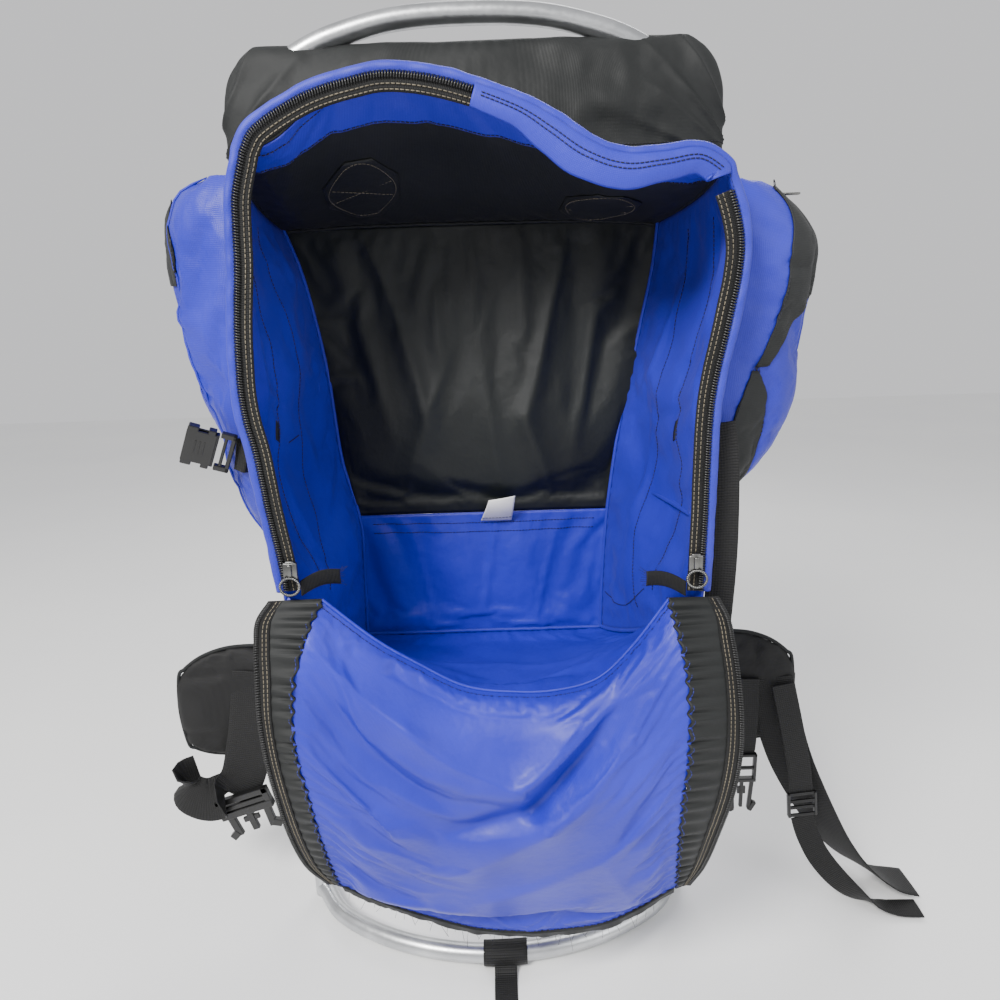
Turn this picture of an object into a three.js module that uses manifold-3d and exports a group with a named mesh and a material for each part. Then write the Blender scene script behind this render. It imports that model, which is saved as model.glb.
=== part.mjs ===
// External frame backpack, standing on its frame with the front panel unzipped and folded down.
// Millimetres. X runs to the right as seen from the front, Y away from the viewer, Z up.
// The origin is on the floor midway between the feet of the two rails.
import * as THREE from 'three';
import { mergeVertices } from 'three/addons/utils/BufferGeometryUtils.js';
import Module from 'manifold-3d';

// Frame
const TUBE_D = 19;
const FRAME_W = 430;
const FRAME_H = 920;
const CROSS_D = 16;
const SHELF_DEPTH = 116;
const SHELF_LIFT = 2.9;
const FOOT_Z = 0.3;
const CROSS_HEIGHTS = [{ z: 120 }, { z: 345 }, { z: 610 }];
// Top bow of the frame: half width x and drop below the top of the frame
const BOW = [
  { x: 1.0, drop: 170 }, { x: 0.998, drop: 128 }, { x: 0.968, drop: 97 }, { x: 0.91, drop: 71 },
  { x: 0.81, drop: 48 }, { x: 0.66, drop: 31 }, { x: 0.51, drop: 21 }, { x: 0.34, drop: 13.4 },
  { x: 0.17, drop: 10.2 }, { x: 0, drop: 9.5 },
];
// Shelf hoop on the floor: share of the half width and share of the depth
const SHELF = [
  { x: 1.0, y: 0 }, { x: 0.955, y: 0.13 }, { x: 0.86, y: 0.4 }, { x: 0.71, y: 0.62 },
  { x: 0.5, y: 0.82 }, { x: 0.26, y: 0.95 }, { x: 0, y: 1 },
];

// Bag
const CLOTH = 2;
const GAP = 0.4;
const BACK_Y = -(TUBE_D / 2 + CLOTH + GAP);
const MOUTH_Y = -198;
const BACK_TOP = 738;
const BACK_SPLIT = 463;
const BACK_BOTTOM = 335;
const MOUTH_BOTTOM_LEFT = 450;
const MOUTH_BOTTOM_RIGHT = 428;
const MOUTH_TOP_LEFT = 772;
const MOUTH_TOP_RIGHT = 752;
const WALL_BULGE = 7;
const BACK_SAG = 9;
// Side walls: height z, x at the back panel, x at the mouth
const LEFT_WALL = [
  { z: 330, back: -128, front: -150 }, { z: 400, back: -126, front: -150 },
  { z: 450, back: -125, front: -151 }, { z: 480, back: -130, front: -153 },
  { z: 520, back: -139, front: -158 }, { z: 570, back: -143, front: -163 },
  { z: 600, back: -145, front: -168 }, { z: 650, back: -152, front: -166 },
  { z: 700, back: -162, front: -160 },
  { z: 745, back: -177, front: -156 }, { z: 772, back: -182, front: -147 },
];
const RIGHT_WALL = [
  { z: 330, back: 118, front: 168 }, { z: 400, back: 120, front: 169 }, { z: 460, back: 124, front: 170 },
  { z: 510, back: 130, front: 171 }, { z: 550, back: 136, front: 171 }, { z: 600, back: 146, front: 173 },
  { z: 650, back: 156, front: 182 }, { z: 690, back: 164, front: 188 }, { z: 715, back: 167, front: 186 },
  { z: 752, back: 170, front: 173 },
];
// Top edge of the mouth
const MOUTH_TOP = [
  { x: -147, z: 772 }, { x: -137, z: 785 }, { x: -105, z: 802 }, { x: -72, z: 811 }, { x: -46, z: 814 },
  { x: -8, z: 808 }, { x: 44, z: 790 }, { x: 83, z: 767 }, { x: 106, z: 759 }, { x: 130, z: 759 },
  { x: 156, z: 761 }, { x: 173, z: 752 },
];
const PANEL_T = 1.2;
const PANEL_LIFT = 1.2;
const CORNER_LIFT = 1.1;
const HEM_W = 8;
const TAPE_W = 12;
const TRIM_T = 1.6;
const FOLD_LEAF = 20;

// Sleeve over the top of the frame: drop below the top of the frame, how much wider than half the
// frame, half depth
const SLEEVE = [
  { drop: 138, wider: 9, d: 25 }, { drop: 115, wider: 8, d: 26 }, { drop: 90, wider: 8, d: 25 },
  { drop: 70, wider: 6, d: 22 }, { drop: 54, wider: 0, d: 19 }, { drop: 42, wider: -9, d: 15 },
  { drop: 34, wider: -19, d: 9 }, { drop: 31, wider: -25, d: 4 },
].map((s) => ({ z: FRAME_H - s.drop, w: FRAME_W / 2 + s.wider, d: s.d }));

// Front flap, hanging inside out from the lower edge of the mouth.
// Edges: share v down the flap, depth y, height z, ruffle seam, tape seam, outer edge
const FLAP_LEFT = [
  { v: 0, y: -198.8, z: 450, ruffle: -124, tape: -152, edge: -165 },
  { v: 0.08, y: -212, z: 438, ruffle: -131, tape: -160, edge: -173 },
  { v: 0.17, y: -222, z: 419, ruffle: -138, tape: -161, edge: -174 },
  { v: 0.24, y: -230, z: 399, ruffle: -144, tape: -160, edge: -173 },
  { v: 0.34, y: -238, z: 370, ruffle: -146, tape: -160, edge: -172 },
  { v: 0.45, y: -240, z: 337, ruffle: -145, tape: -158, edge: -170 },
  { v: 0.57, y: -236, z: 300, ruffle: -141, tape: -155, edge: -167 },
  { v: 0.71, y: -224, z: 254, ruffle: -139, tape: -152, edge: -164 },
  { v: 0.86, y: -208, z: 211, ruffle: -137, tape: -147, edge: -158 },
  { v: 1, y: -195, z: 181, ruffle: -134, tape: -137, edge: -144 },
];
const FLAP_RIGHT = [
  { v: 0, y: -198.8, z: 442, ruffle: 145, tape: 172, edge: 183 },
  { v: 0.08, y: -214, z: 430, ruffle: 147, tape: 177, edge: 188 },
  { v: 0.17, y: -225, z: 410, ruffle: 151, tape: 179, edge: 191 },
  { v: 0.24, y: -232, z: 390, ruffle: 154, tape: 181, edge: 193 },
  { v: 0.34, y: -239, z: 360, ruffle: 155, tape: 182, edge: 195 },
  { v: 0.45, y: -239, z: 326, ruffle: 155, tape: 182, edge: 196 },
  { v: 0.57, y: -232, z: 286, ruffle: 154, tape: 180, edge: 194 },
  { v: 0.71, y: -218, z: 237, ruffle: 156, tape: 175, edge: 188 },
  { v: 0.86, y: -200, z: 192, ruffle: 160, tape: 172, edge: 183 },
  { v: 1, y: -187, z: 161, ruffle: 163, tape: 167, edge: 174 },
];
const FLAP_MIDDLE = [
  { v: 0, y: -198.8, z: 366 }, { v: 0.08, y: -222, z: 361 }, { v: 0.16, y: -234, z: 345 },
  { v: 0.3, y: -236, z: 308 }, { v: 0.45, y: -227, z: 262 }, { v: 0.6, y: -208, z: 212 },
  { v: 0.75, y: -187, z: 162 }, { v: 0.9, y: -165, z: 112 },
  { v: 1, y: -155, z: 84 },
];
const FLAP_FOLD = 4;
const FLAP_END = 0.985;
const FLAP_HEM = 6;
const RUFFLES = 11;
const RUFFLE_DEPTH = 2.6;

// Side pockets: height z, first and last y on the wall, reach outwards from the wall
const LEFT_POCKET = [
  { z: 452, near: -148, far: -40, out: 10 }, { z: 480, near: -160, far: -34, out: 28 },
  { z: 540, near: -166, far: -30, out: 46 }, { z: 610, near: -168, far: -28, out: 56 },
  { z: 680, near: -168, far: -28, out: 68 }, { z: 725, near: -166, far: -28, out: 66 },
  { z: 752, near: -160, far: -32, out: 50 }, { z: 766, near: -150, far: -40, out: 26 },
];
const RIGHT_POCKET = [
  { z: 500, near: -156, far: -40, out: 26 }, { z: 515, near: -162, far: -34, out: 46 },
  { z: 545, near: -166, far: -30, out: 76 }, { z: 590, near: -168, far: -28, out: 92 },
  { z: 640, near: -168, far: -28, out: 88 }, { z: 690, near: -168, far: -28, out: 85 },
  { z: 722, near: -166, far: -28, out: 74 }, { z: 742, near: -160, far: -32, out: 54 },
  { z: 754, near: -150, far: -40, out: 28 },
];
const POCKET_ROWS = 8;
const POCKET_COLUMNS = 9;
const POCKET_SEAM = 3;

// Webbing and belt
const WEB_WIDE = 50;
const WEB_NARROW = 25;
const WEB_T = 1.8;
const PAD_T = 22;
const STRAP_PAD_T = 12;
const STRAP_PAD_W = 62;

const COLOURS = {
  blue: 0x3a4fd0, black: 0x2c2d2c, webbing: 0x262624, aluminium: 0xb8babb, plastic: 0x1d1d1d,
  label: 0xe6e4de, steel: 0x9a9a98,
};

const wasm = await Module();
wasm.setup();
const group = new THREE.Group();
group.name = 'external_frame_backpack';

function vec(x, y, z) {
  return new THREE.Vector3(x, y, z);
}

function mix(a, b, t) {
  return a + (b - a) * t;
}

// Reads a column of a table at a value of its key column
function read(table, key, value, column) {
  const up = table[table.length - 1][key] > table[0][key];
  let i = 0;
  while (i < table.length - 2 && (up ? table[i + 1][key] < value : table[i + 1][key] > value)) i += 1;
  const a = table[i];
  const b = table[i + 1];
  const t = Math.min(1, Math.max(0, (value - a[key]) / (b[key] - a[key])));
  return mix(a[column], b[column], t);
}

function smoothPath(points, count) {
  return new THREE.CatmullRomCurve3(points, false, 'centripetal').getSpacedPoints(count);
}

// Builds a geometry from points and triangles, faces outwards
function solidFrom(points, triangles) {
  const flat = new Float32Array(points.length * 3);
  points.forEach((p, i) => p.toArray(flat, i * 3));
  let volume = 0;
  for (const [a, b, c] of triangles) volume += points[a].dot(points[b].clone().cross(points[c]));
  const index = triangles.flatMap(([a, b, c]) => (volume > 0 ? [a, b, c] : [a, c, b]));
  const geometry = new THREE.BufferGeometry();
  geometry.setAttribute('position', new THREE.BufferAttribute(flat, 3));
  geometry.setIndex(index);
  geometry.computeVertexNormals();
  return geometry;
}

// A wall of even thickness on a grid of points; direction is fixed or the grid's own normal
function wall(rows, thickness, direction) {
  const n = rows.length;
  const m = rows[0].length;
  const front = [];
  const back = [];
  for (let i = 0; i < n; i += 1) {
    for (let j = 0; j < m; j += 1) {
      const p = rows[i][j];
      let d = direction;
      if (!d) {
        const du = rows[Math.min(i + 1, n - 1)][j].clone().sub(rows[Math.max(i - 1, 0)][j]);
        const dv = rows[i][Math.min(j + 1, m - 1)].clone().sub(rows[i][Math.max(j - 1, 0)]);
        d = du.cross(dv).normalize();
      }
      front.push(p);
      back.push(p.clone().addScaledVector(d, thickness));
    }
  }
  const points = front.concat(back);
  const at = (i, j, side) => side * n * m + i * m + j;
  const triangles = [];
  const quad = (a, b, c, d) => triangles.push([a, b, c], [a, c, d]);
  for (let i = 0; i < n - 1; i += 1) {
    for (let j = 0; j < m - 1; j += 1) {
      quad(at(i, j, 0), at(i, j + 1, 0), at(i + 1, j + 1, 0), at(i + 1, j, 0));
      quad(at(i, j, 1), at(i + 1, j, 1), at(i + 1, j + 1, 1), at(i, j + 1, 1));
    }
  }
  for (let i = 0; i < n - 1; i += 1) {
    quad(at(i, 0, 0), at(i + 1, 0, 0), at(i + 1, 0, 1), at(i, 0, 1));
    quad(at(i, m - 1, 0), at(i, m - 1, 1), at(i + 1, m - 1, 1), at(i + 1, m - 1, 0));
  }
  for (let j = 0; j < m - 1; j += 1) {
    quad(at(0, j, 0), at(0, j, 1), at(0, j + 1, 1), at(0, j + 1, 0));
    quad(at(n - 1, j, 0), at(n - 1, j + 1, 0), at(n - 1, j + 1, 1), at(n - 1, j, 1));
  }
  return solidFrom(points, triangles);
}

// A solid through closed rings of points, capped at both ends
function loft(rings) {
  const m = rings[0].length;
  const points = rings.flat();
  const triangles = [];
  for (let i = 0; i < rings.length - 1; i += 1) {
    for (let j = 0; j < m; j += 1) {
      const k = (j + 1) % m;
      triangles.push([i * m + j, i * m + k, (i + 1) * m + k], [i * m + j, (i + 1) * m + k, (i + 1) * m + j]);
    }
  }
  const last = (rings.length - 1) * m;
  for (let j = 1; j < m - 1; j += 1) {
    triangles.push([0, j + 1, j], [last, last + j, last + j + 1]);
  }
  return solidFrom(points, triangles);
}

// A flat strap along a path; across gives the direction of its width at each share of the path
function strap(points, width, across, count = 16, thickness = WEB_T) {
  const path = smoothPath(points, count);
  const rows = path.map((p, i) => {
    const a = across(i / (path.length - 1)).clone().normalize();
    return [p.clone().addScaledVector(a, -width / 2), p.clone().addScaledVector(a, width / 2)];
  });
  return wall(rows, thickness);
}

// A padded shape along a path: stations with centre, half width and half thickness
function pad(stations, across, through, sides = 14) {
  const rings = stations.map((s) => {
    const ring = [];
    for (let k = 0; k < sides; k += 1) {
      const a = (k / sides) * Math.PI * 2;
      const cu = Math.cos(a);
      const su = Math.sin(a);
      const w = Math.sign(cu) * Math.abs(cu) ** 0.7 * s.w;
      const t = Math.sign(su) * Math.abs(su) ** 0.7 * s.t;
      ring.push(s.p.clone().addScaledVector(across, w).addScaledVector(through, t));
    }
    return ring;
  });
  return loft(rings);
}

function tube(points, radius, sides, steps) {
  const curve = new THREE.CatmullRomCurve3(points, false, 'centripetal');
  const shape = new THREE.Shape();
  for (let k = 0; k < sides; k += 1) {
    const a = (k / sides) * Math.PI * 2;
    if (k === 0) shape.moveTo(radius * Math.cos(a), radius * Math.sin(a));
    else shape.lineTo(radius * Math.cos(a), radius * Math.sin(a));
  }
  shape.closePath();
  return new THREE.ExtrudeGeometry(shape, { steps, bevelEnabled: false, extrudePath: curve });
}

function toManifold(geometry) {
  const plain = geometry.clone();
  plain.deleteAttribute('normal');
  if (plain.getAttribute('uv')) plain.deleteAttribute('uv');
  const merged = mergeVertices(plain, 1e-4);
  return new wasm.Manifold(new wasm.Mesh({
    numProp: 3,
    vertProperties: new Float32Array(merged.getAttribute('position').array),
    triVerts: new Uint32Array(merged.getIndex().array),
  }));
}

function fromManifold(solid) {
  const mesh = solid.getMesh();
  const geometry = new THREE.BufferGeometry();
  geometry.setAttribute('position', new THREE.BufferAttribute(new Float32Array(mesh.vertProperties), 3));
  geometry.setIndex(new THREE.BufferAttribute(new Uint32Array(mesh.triVerts), 1));
  geometry.computeVertexNormals();
  return geometry;
}

function add(name, geometry, colour, roughness = 0.7, metalness = 0) {
  const material = new THREE.MeshStandardMaterial({ color: COLOURS[colour], roughness, metalness });
  const mesh = new THREE.Mesh(geometry, material);
  mesh.name = name;
  group.add(mesh);
}

// Frame

const TUBE_R = TUBE_D / 2;
const RAIL_X = FRAME_W / 2 - TUBE_R;
const SHELF_Y = SHELF_DEPTH - TUBE_R;

function bowPoints() {
  const half = BOW.map((b) => vec(-b.x * RAIL_X, 0, FRAME_H - b.drop));
  const other = half.slice(0, -1).reverse().map((p) => vec(-p.x, 0, p.z));
  return half.concat(other);
}

function upperTubePoints() {
  const foot = [vec(-RAIL_X, 0, FOOT_Z), vec(-RAIL_X, 0, FRAME_H * 0.4)];
  const otherFoot = [vec(RAIL_X, 0, FRAME_H * 0.4), vec(RAIL_X, 0, FOOT_Z)];
  return foot.concat(bowPoints(), otherFoot);
}

function shelfPoints() {
  const half = SHELF.map((s) => vec(-s.x * RAIL_X, -s.y * SHELF_Y, TUBE_R + FOOT_Z + SHELF_LIFT * s.y));
  const other = half.slice(0, -1).reverse().map((p) => vec(-p.x, p.y, p.z));
  return half.concat(other);
}

function makeFrame() {
  let frame = toManifold(tube(upperTubePoints(), TUBE_R, 10, 42));
  frame = frame.add(toManifold(tube(shelfPoints(), TUBE_R, 10, 24)));
  for (const bar of CROSS_HEIGHTS) {
    const ends = [vec(-RAIL_X, 0, bar.z), vec(RAIL_X, 0, bar.z)];
    frame = frame.add(toManifold(tube(ends, CROSS_D / 2, 8, 1)));
  }
  return fromManifold(frame);
}

// Sleeve over the top of the frame

function sleeveRing(w, d, z) {
  const ring = [];
  const sides = 24;
  for (let k = 0; k < sides; k += 1) {
    const a = (k / sides) * Math.PI * 2;
    const c = Math.cos(a);
    const s = Math.sin(a);
    const x = Math.sign(c) * Math.abs(c) ** 0.45 * w;
    const y = Math.sign(s) * Math.abs(s) ** 0.8 * d;
    ring.push(vec(x + 4 * (FRAME_W / 430), y, z));
  }
  return ring;
}

function makeSleeve() {
  const outer = toManifold(loft(SLEEVE.map((s) => sleeveRing(s.w, s.d, s.z))));
  const inside = SLEEVE.slice(0, -2).map((s) => sleeveRing(s.w - CLOTH, s.d - CLOTH, s.z - CLOTH));
  inside.unshift(sleeveRing(SLEEVE[0].w - CLOTH, SLEEVE[0].d - CLOTH, SLEEVE[0].z - 30));
  let shell = outer.subtract(toManifold(loft(inside)));
  shell = shell.subtract(toManifold(tube(upperTubePoints(), TUBE_R + 0.9, 10, 42)));
  const parts = shell.decompose();
  parts.sort((a, b) => b.volume() - a.volume());
  return fromManifold(parts[0]);
}

// Bag walls

const depthAt = (s) => mix(BACK_Y - GAP, MOUTH_Y, s);
const leftFoot = (s) => mix(BACK_BOTTOM, MOUTH_BOTTOM_LEFT, s ** 1.3);
const rightFoot = (s) => mix(BACK_BOTTOM, MOUTH_BOTTOM_RIGHT, s ** 1.3);
const leftHead = (s) => mix(BACK_TOP, MOUTH_TOP_LEFT, s);
const rightHead = (s) => mix(BACK_TOP - 3, MOUTH_TOP_RIGHT, s);

function wallX(table, z, s) {
  const x = mix(read(table, 'z', z, 'back'), read(table, 'z', z, 'front'), s);
  return x + Math.sign(x) * WALL_BULGE * Math.sin(Math.PI * s) * (0.6 + 0.4 * Math.sin(z / 37));
}

function makeSideWall(table, foot, head, side) {
  const rows = [];
  for (let i = 0; i <= 11; i += 1) {
    const row = [];
    for (let j = 0; j <= 5; j += 1) {
      const s = j / 5;
      const z = mix(foot(s) + GAP, head(s) - GAP, i / 11);
      row.push(vec(wallX(table, z, s), depthAt(s), z));
    }
    rows.push(row);
  }
  return wall(rows, CLOTH, vec(side, 0, 0));
}

function topZ(x, s) {
  const front = read(MOUTH_TOP, 'x', x, 'z');
  return mix(BACK_TOP + 2, front, s) - 4 * Math.sin(Math.PI * s);
}

function topPoint(u, s) {
  const x = mix(wallX(LEFT_WALL, leftHead(s), s) + GAP, wallX(RIGHT_WALL, rightHead(s), s) - GAP, u);
  const edge = Math.min(1, Math.min(u, 1 - u) * 4.7);
  return vec(x, depthAt(s), mix(mix(leftHead(s), rightHead(s), u), topZ(x, s), edge) + GAP);
}

function makeTopWall() {
  const rows = [];
  for (let i = 0; i <= 4; i += 1) {
    const row = [];
    for (let j = 0; j <= 14; j += 1) row.push(topPoint(j / 14, i / 4));
    rows.push(row);
  }
  return wall(rows, CLOTH, vec(0, 0, 1));
}

// Height of the seam between the bag's floor and the flap
function seamZ(u) {
  const side = mix(MOUTH_BOTTOM_LEFT, MOUTH_BOTTOM_RIGHT, u);
  return mix(side, FLAP_MIDDLE[0].z, Math.sin(Math.PI * u) ** 0.8);
}

function makeFloor() {
  const rows = [];
  for (let i = 0; i <= 5; i += 1) {
    const s = i / 5;
    const x0 = wallX(LEFT_WALL, leftFoot(s), s) + GAP;
    const x1 = wallX(RIGHT_WALL, rightFoot(s), s) - GAP;
    const row = [];
    for (let j = 0; j <= 12; j += 1) {
      const u = j / 12;
      const z = mix(BACK_BOTTOM - 2, seamZ(u), s ** 1.3);
      row.push(vec(mix(x0, x1, u), depthAt(s), z - GAP));
    }
    rows.push(row);
  }
  return wall(rows, CLOTH, vec(0, 0, -1));
}

function backFold(x, z) {
  const lower = Math.exp(-(((z - 520) / 90) ** 2));
  const diagonal = Math.sin((x * 0.8 + z) / 34);
  return BACK_SAG * lower * (0.45 + 0.35 * diagonal) + 1.2 * Math.sin(x / 28);
}

function makeBackPanel(z0, z1, depth, count, fold) {
  const rows = [];
  for (let i = 0; i <= count; i += 1) {
    const z = mix(z0, z1, i / count);
    const x0 = read(LEFT_WALL, 'z', z, 'back');
    const x1 = read(RIGHT_WALL, 'z', z, 'back');
    const row = [vec(-RAIL_X + 2, depth, z)];
    for (let j = 0; j <= 8; j += 1) {
      const u = j / 8;
      const edge = Math.sin(Math.PI * u) ** 0.5 * Math.sin((Math.PI * i) / count) ** 0.5;
      const x = mix(x0, x1, u);
      row.push(vec(x, depth - edge * Math.max(0, fold(x, z)), z));
    }
    row.push(vec(RAIL_X - 2, depth, z));
    rows.push(row);
  }
  return wall(rows, CLOTH, vec(0, 1, 0));
}

// Trim round the mouth

function mouthPath() {
  const path = [];
  for (let i = 0; i <= 14; i += 1) {
    const z = mix(MOUTH_BOTTOM_LEFT + 8, MOUTH_TOP_LEFT - 8, i / 14);
    path.push(vec(read(LEFT_WALL, 'z', z, 'front'), 0, z));
  }
  for (const p of MOUTH_TOP) path.push(vec(p.x, 0, p.z));
  for (let i = 0; i <= 14; i += 1) {
    const z = mix(MOUTH_TOP_RIGHT - 8, MOUTH_BOTTOM_RIGHT + 20, i / 14);
    path.push(vec(read(RIGHT_WALL, 'z', z, 'front'), 0, z));
  }
  return new THREE.CatmullRomCurve3(path, false, 'centripetal').getSpacedPoints(52);
}

function mouthBand(from, to, inner, outer, depth, thickness) {
  const path = mouthPath();
  const last = path.length - 1;
  const rows = [];
  for (let i = Math.round(from * last); i <= Math.round(to * last); i += 1) {
    const t = path[Math.min(i + 1, last)].clone().sub(path[Math.max(i - 1, 0)]).normalize();
    const out = vec(-t.z, 0, t.x);
    const p = vec(path[i].x, depth, path[i].z);
    rows.push([p.clone().addScaledVector(out, -inner), p.clone().addScaledVector(out, outer)]);
  }
  return wall(rows, thickness, vec(0, -1, 0));
}

function makeSlider(side, x, z) {
  const shape = new THREE.Shape();
  shape.moveTo(-5, -7);
  shape.lineTo(5, -7);
  shape.lineTo(6, 3);
  shape.lineTo(3, 7);
  shape.lineTo(-3, 7);
  shape.lineTo(-6, 3);
  shape.closePath();
  const body = new THREE.ExtrudeGeometry(shape, { depth: 5, bevelEnabled: false });
  body.rotateX(Math.PI / 2);
  const ring = new THREE.TorusGeometry(7, 1.3, 5, 10);
  ring.rotateX(Math.PI / 2);
  ring.translate(side * -1, -3.4, -12.5);
  const joined = toManifold(body).add(toManifold(ring));
  const geometry = fromManifold(joined);
  geometry.translate(x, 0, z);
  return geometry;
}

// Flap

const MIDDLE_WEIGHT = [
  { u: 0, w: 0 }, { u: 0.14, w: 0.4 }, { u: 0.26, w: 0.66 }, { u: 0.4, w: 0.92 }, { u: 0.55, w: 1 },
  { u: 0.68, w: 0.99 }, { u: 0.8, w: 0.86 }, { u: 0.9, w: 0.5 }, { u: 1, w: 0 },
];

function flapPoint(u, v) {
  const w = read(MIDDLE_WEIGHT, 'u', u, 'w');
  const x0 = read(FLAP_LEFT, 'v', v, 'ruffle') + GAP;
  const x1 = read(FLAP_RIGHT, 'v', v, 'ruffle') - GAP;
  const sideY = mix(read(FLAP_LEFT, 'v', v, 'y'), read(FLAP_RIGHT, 'v', v, 'y'), u);
  const sideZ = mix(read(FLAP_LEFT, 'v', v, 'z'), read(FLAP_RIGHT, 'v', v, 'z'), u);
  const x = mix(x0, x1, u);
  const z = mix(sideZ, read(FLAP_MIDDLE, 'v', v, 'z'), w);
  let y = mix(sideY, read(FLAP_MIDDLE, 'v', v, 'y'), w);
  const angle = Math.atan2(u * 1.1 + 0.05, v + 0.05);
  const fold = Math.sin(angle * 9) * Math.sin(Math.PI * u) * Math.sin(Math.PI * Math.min(1, v * 1.4 + 0.05));
  y -= FLAP_FOLD * Math.max(-0.6, fold);
  return vec(x, y, z);
}

function makeFlap() {
  const rows = [];
  for (let i = 0; i <= 13; i += 1) {
    const row = [];
    for (let j = 0; j <= 13; j += 1) row.push(flapPoint(j / 13, (i / 13) * FLAP_END));
    rows.push(row);
  }
  return wall(rows, CLOTH);
}

function flapEdgeStrip(table, fromKey, toKey, backFrom, backTo, ripple, side, count) {
  const rows = [];
  for (let i = 0; i <= count; i += 1) {
    const v = i / count;
    const wave = Math.sin(v * Math.PI * 2 * RUFFLES) * ripple * Math.sin(Math.PI * v) ** 0.3;
    const y = read(table, 'v', v, 'y');
    const z = read(table, 'v', v, 'z');
    const a = read(table, 'v', v, fromKey) + side * GAP * (toKey === 'edge' ? 1.6 : 1);
    const b = read(table, 'v', v, toKey) - side * GAP * (toKey === 'edge' ? 0 : 1);
    const leaveSeam = Math.min(1, v * 7);
    const middle = [vec(mix(a, b, 0.5), y + mix(backFrom, backTo, 0.5) * leaveSeam - wave * 0.5, z)];
    const inner = vec(a, y + backFrom * leaveSeam - wave, z);
    const outer = vec(b, y + backTo * leaveSeam, z);
    rows.push([inner, ...(ripple > 0 ? middle : []), outer]);
  }
  return wall(rows, CLOTH, vec(0, -1, 0));
}

function makeFlapHem() {
  const rows = [];
  for (let j = 0; j <= 14; j += 1) {
    const u = mix(0.01, 0.99, j / 14);
    const p = flapPoint(u, FLAP_END);
    const drop = p.clone().sub(flapPoint(u, FLAP_END - 0.01)).normalize();
    const start = p.clone().addScaledVector(drop, GAP * 4);
    rows.unshift([start, start.clone().addScaledVector(drop, FLAP_HEM + 1.5 * Math.sin(j * 1.7))]);
  }
  return wall(rows, CLOTH);
}

// Side pockets

// Where a pocket would lie flat on its wall: height z and share a of the way round
function pocketSeat(table, wallTable, side, z, a) {
  const y = mix(read(table, 'z', z, 'near'), read(table, 'z', z, 'far'), (1 - Math.cos(Math.PI * a)) / 2);
  const s = (y - BACK_Y) / (MOUTH_Y - BACK_Y);
  const base = wallX(wallTable, z, Math.min(1, Math.max(0, s))) + side * (CLOTH + 1.05);
  return vec(base, y, z);
}

// A point on a pocket, lifted off its inner face
function pocketPoint(table, wallTable, side, z, a, lift) {
  const reach = read(table, 'z', z, 'out') * Math.sin(Math.PI * a) ** 0.75 + lift;
  return pocketSeat(table, wallTable, side, z, a).add(vec(side * reach, 0, 0));
}

// The same, lifted off the outer face along the pocket's own normal
function pocketOutside(table, wallTable, side, z, a, lift) {
  const p = pocketPoint(table, wallTable, side, z, a, 0);
  const above = pocketPoint(table, wallTable, side, z + 2, a, 0);
  const up = above.sub(pocketPoint(table, wallTable, side, z - 2, a, 0));
  const back = pocketPoint(table, wallTable, side, z, Math.min(1, a + 0.02), 0);
  const round = back.sub(pocketPoint(table, wallTable, side, z, Math.max(0, a - 0.02), 0));
  const n = up.cross(round).normalize().multiplyScalar(-side);
  return p.addScaledVector(n, CLOTH + lift);
}

function pocketRows(pointAt, zFrom, zTo, start, end, count, side) {
  const rows = [];
  for (let i = 0; i <= count; i += 1) {
    const row = [];
    for (let j = 0; j <= count; j += 1) {
      row.push(pointAt(mix(zFrom, zTo, i / count), mix(start, end, j / count)));
    }
    rows.push(row);
  }
  return side > 0 ? rows.reverse() : rows;
}

// A pouch closed at its foot and at its top, where it meets the wall just under the wall's top edge
function makePocket(table, wallTable, side, head) {
  const foot = table[0];
  const top = table[table.length - 1];
  const offWall = vec(side * 3 * GAP, 0, 0);
  const rows = [];
  for (let i = -1; i <= POCKET_ROWS + 1; i += 1) {
    const row = [];
    for (let j = 0; j <= POCKET_COLUMNS; j += 1) {
      const a = j / POCKET_COLUMNS;
      const topY = mix(top.near, top.far, (1 - Math.cos(Math.PI * a)) / 2);
      const rim = head((topY - BACK_Y) / (MOUTH_Y - BACK_Y)) - POCKET_SEAM;
      const high = mix(rim - POCKET_SEAM, top.z, Math.sin(Math.PI * a) ** 0.5);
      if (i < 0) {
        row.push(pocketSeat(table, wallTable, side, foot.z - POCKET_SEAM, a).add(offWall));
      } else if (i > POCKET_ROWS) {
        row.push(pocketSeat(table, wallTable, side, rim, a).add(offWall));
      } else {
        row.push(pocketPoint(table, wallTable, side, mix(foot.z, high, i / POCKET_ROWS), a, 0));
      }
    }
    rows.push(row);
  }
  return wall(side > 0 ? rows.reverse() : rows, CLOTH);
}

// Placing everything

add('frame_tubes', makeFrame(), 'aluminium', 0.35, 0.9);
add('top_sleeve', makeSleeve(), 'black');
add('side_wall_left', makeSideWall(LEFT_WALL, leftFoot, leftHead, -1), 'blue');
add('side_wall_right', makeSideWall(RIGHT_WALL, rightFoot, rightHead, 1), 'blue');
add('top_wall', makeTopWall(), 'black');
add('bag_floor', makeFloor(), 'blue');
const backBlack = makeBackPanel(BACK_SPLIT + GAP, BACK_TOP, BACK_Y, 8, backFold);
add('back_panel', backBlack, 'black');
const slightWave = (x, z) => 1.6 + 1.4 * Math.sin((x + z) / 21);
const backBlue = makeBackPanel(BACK_BOTTOM - 4, BACK_SPLIT, BACK_Y, 6, slightWave);
add('back_panel_lower', backBlue, 'blue');

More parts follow.
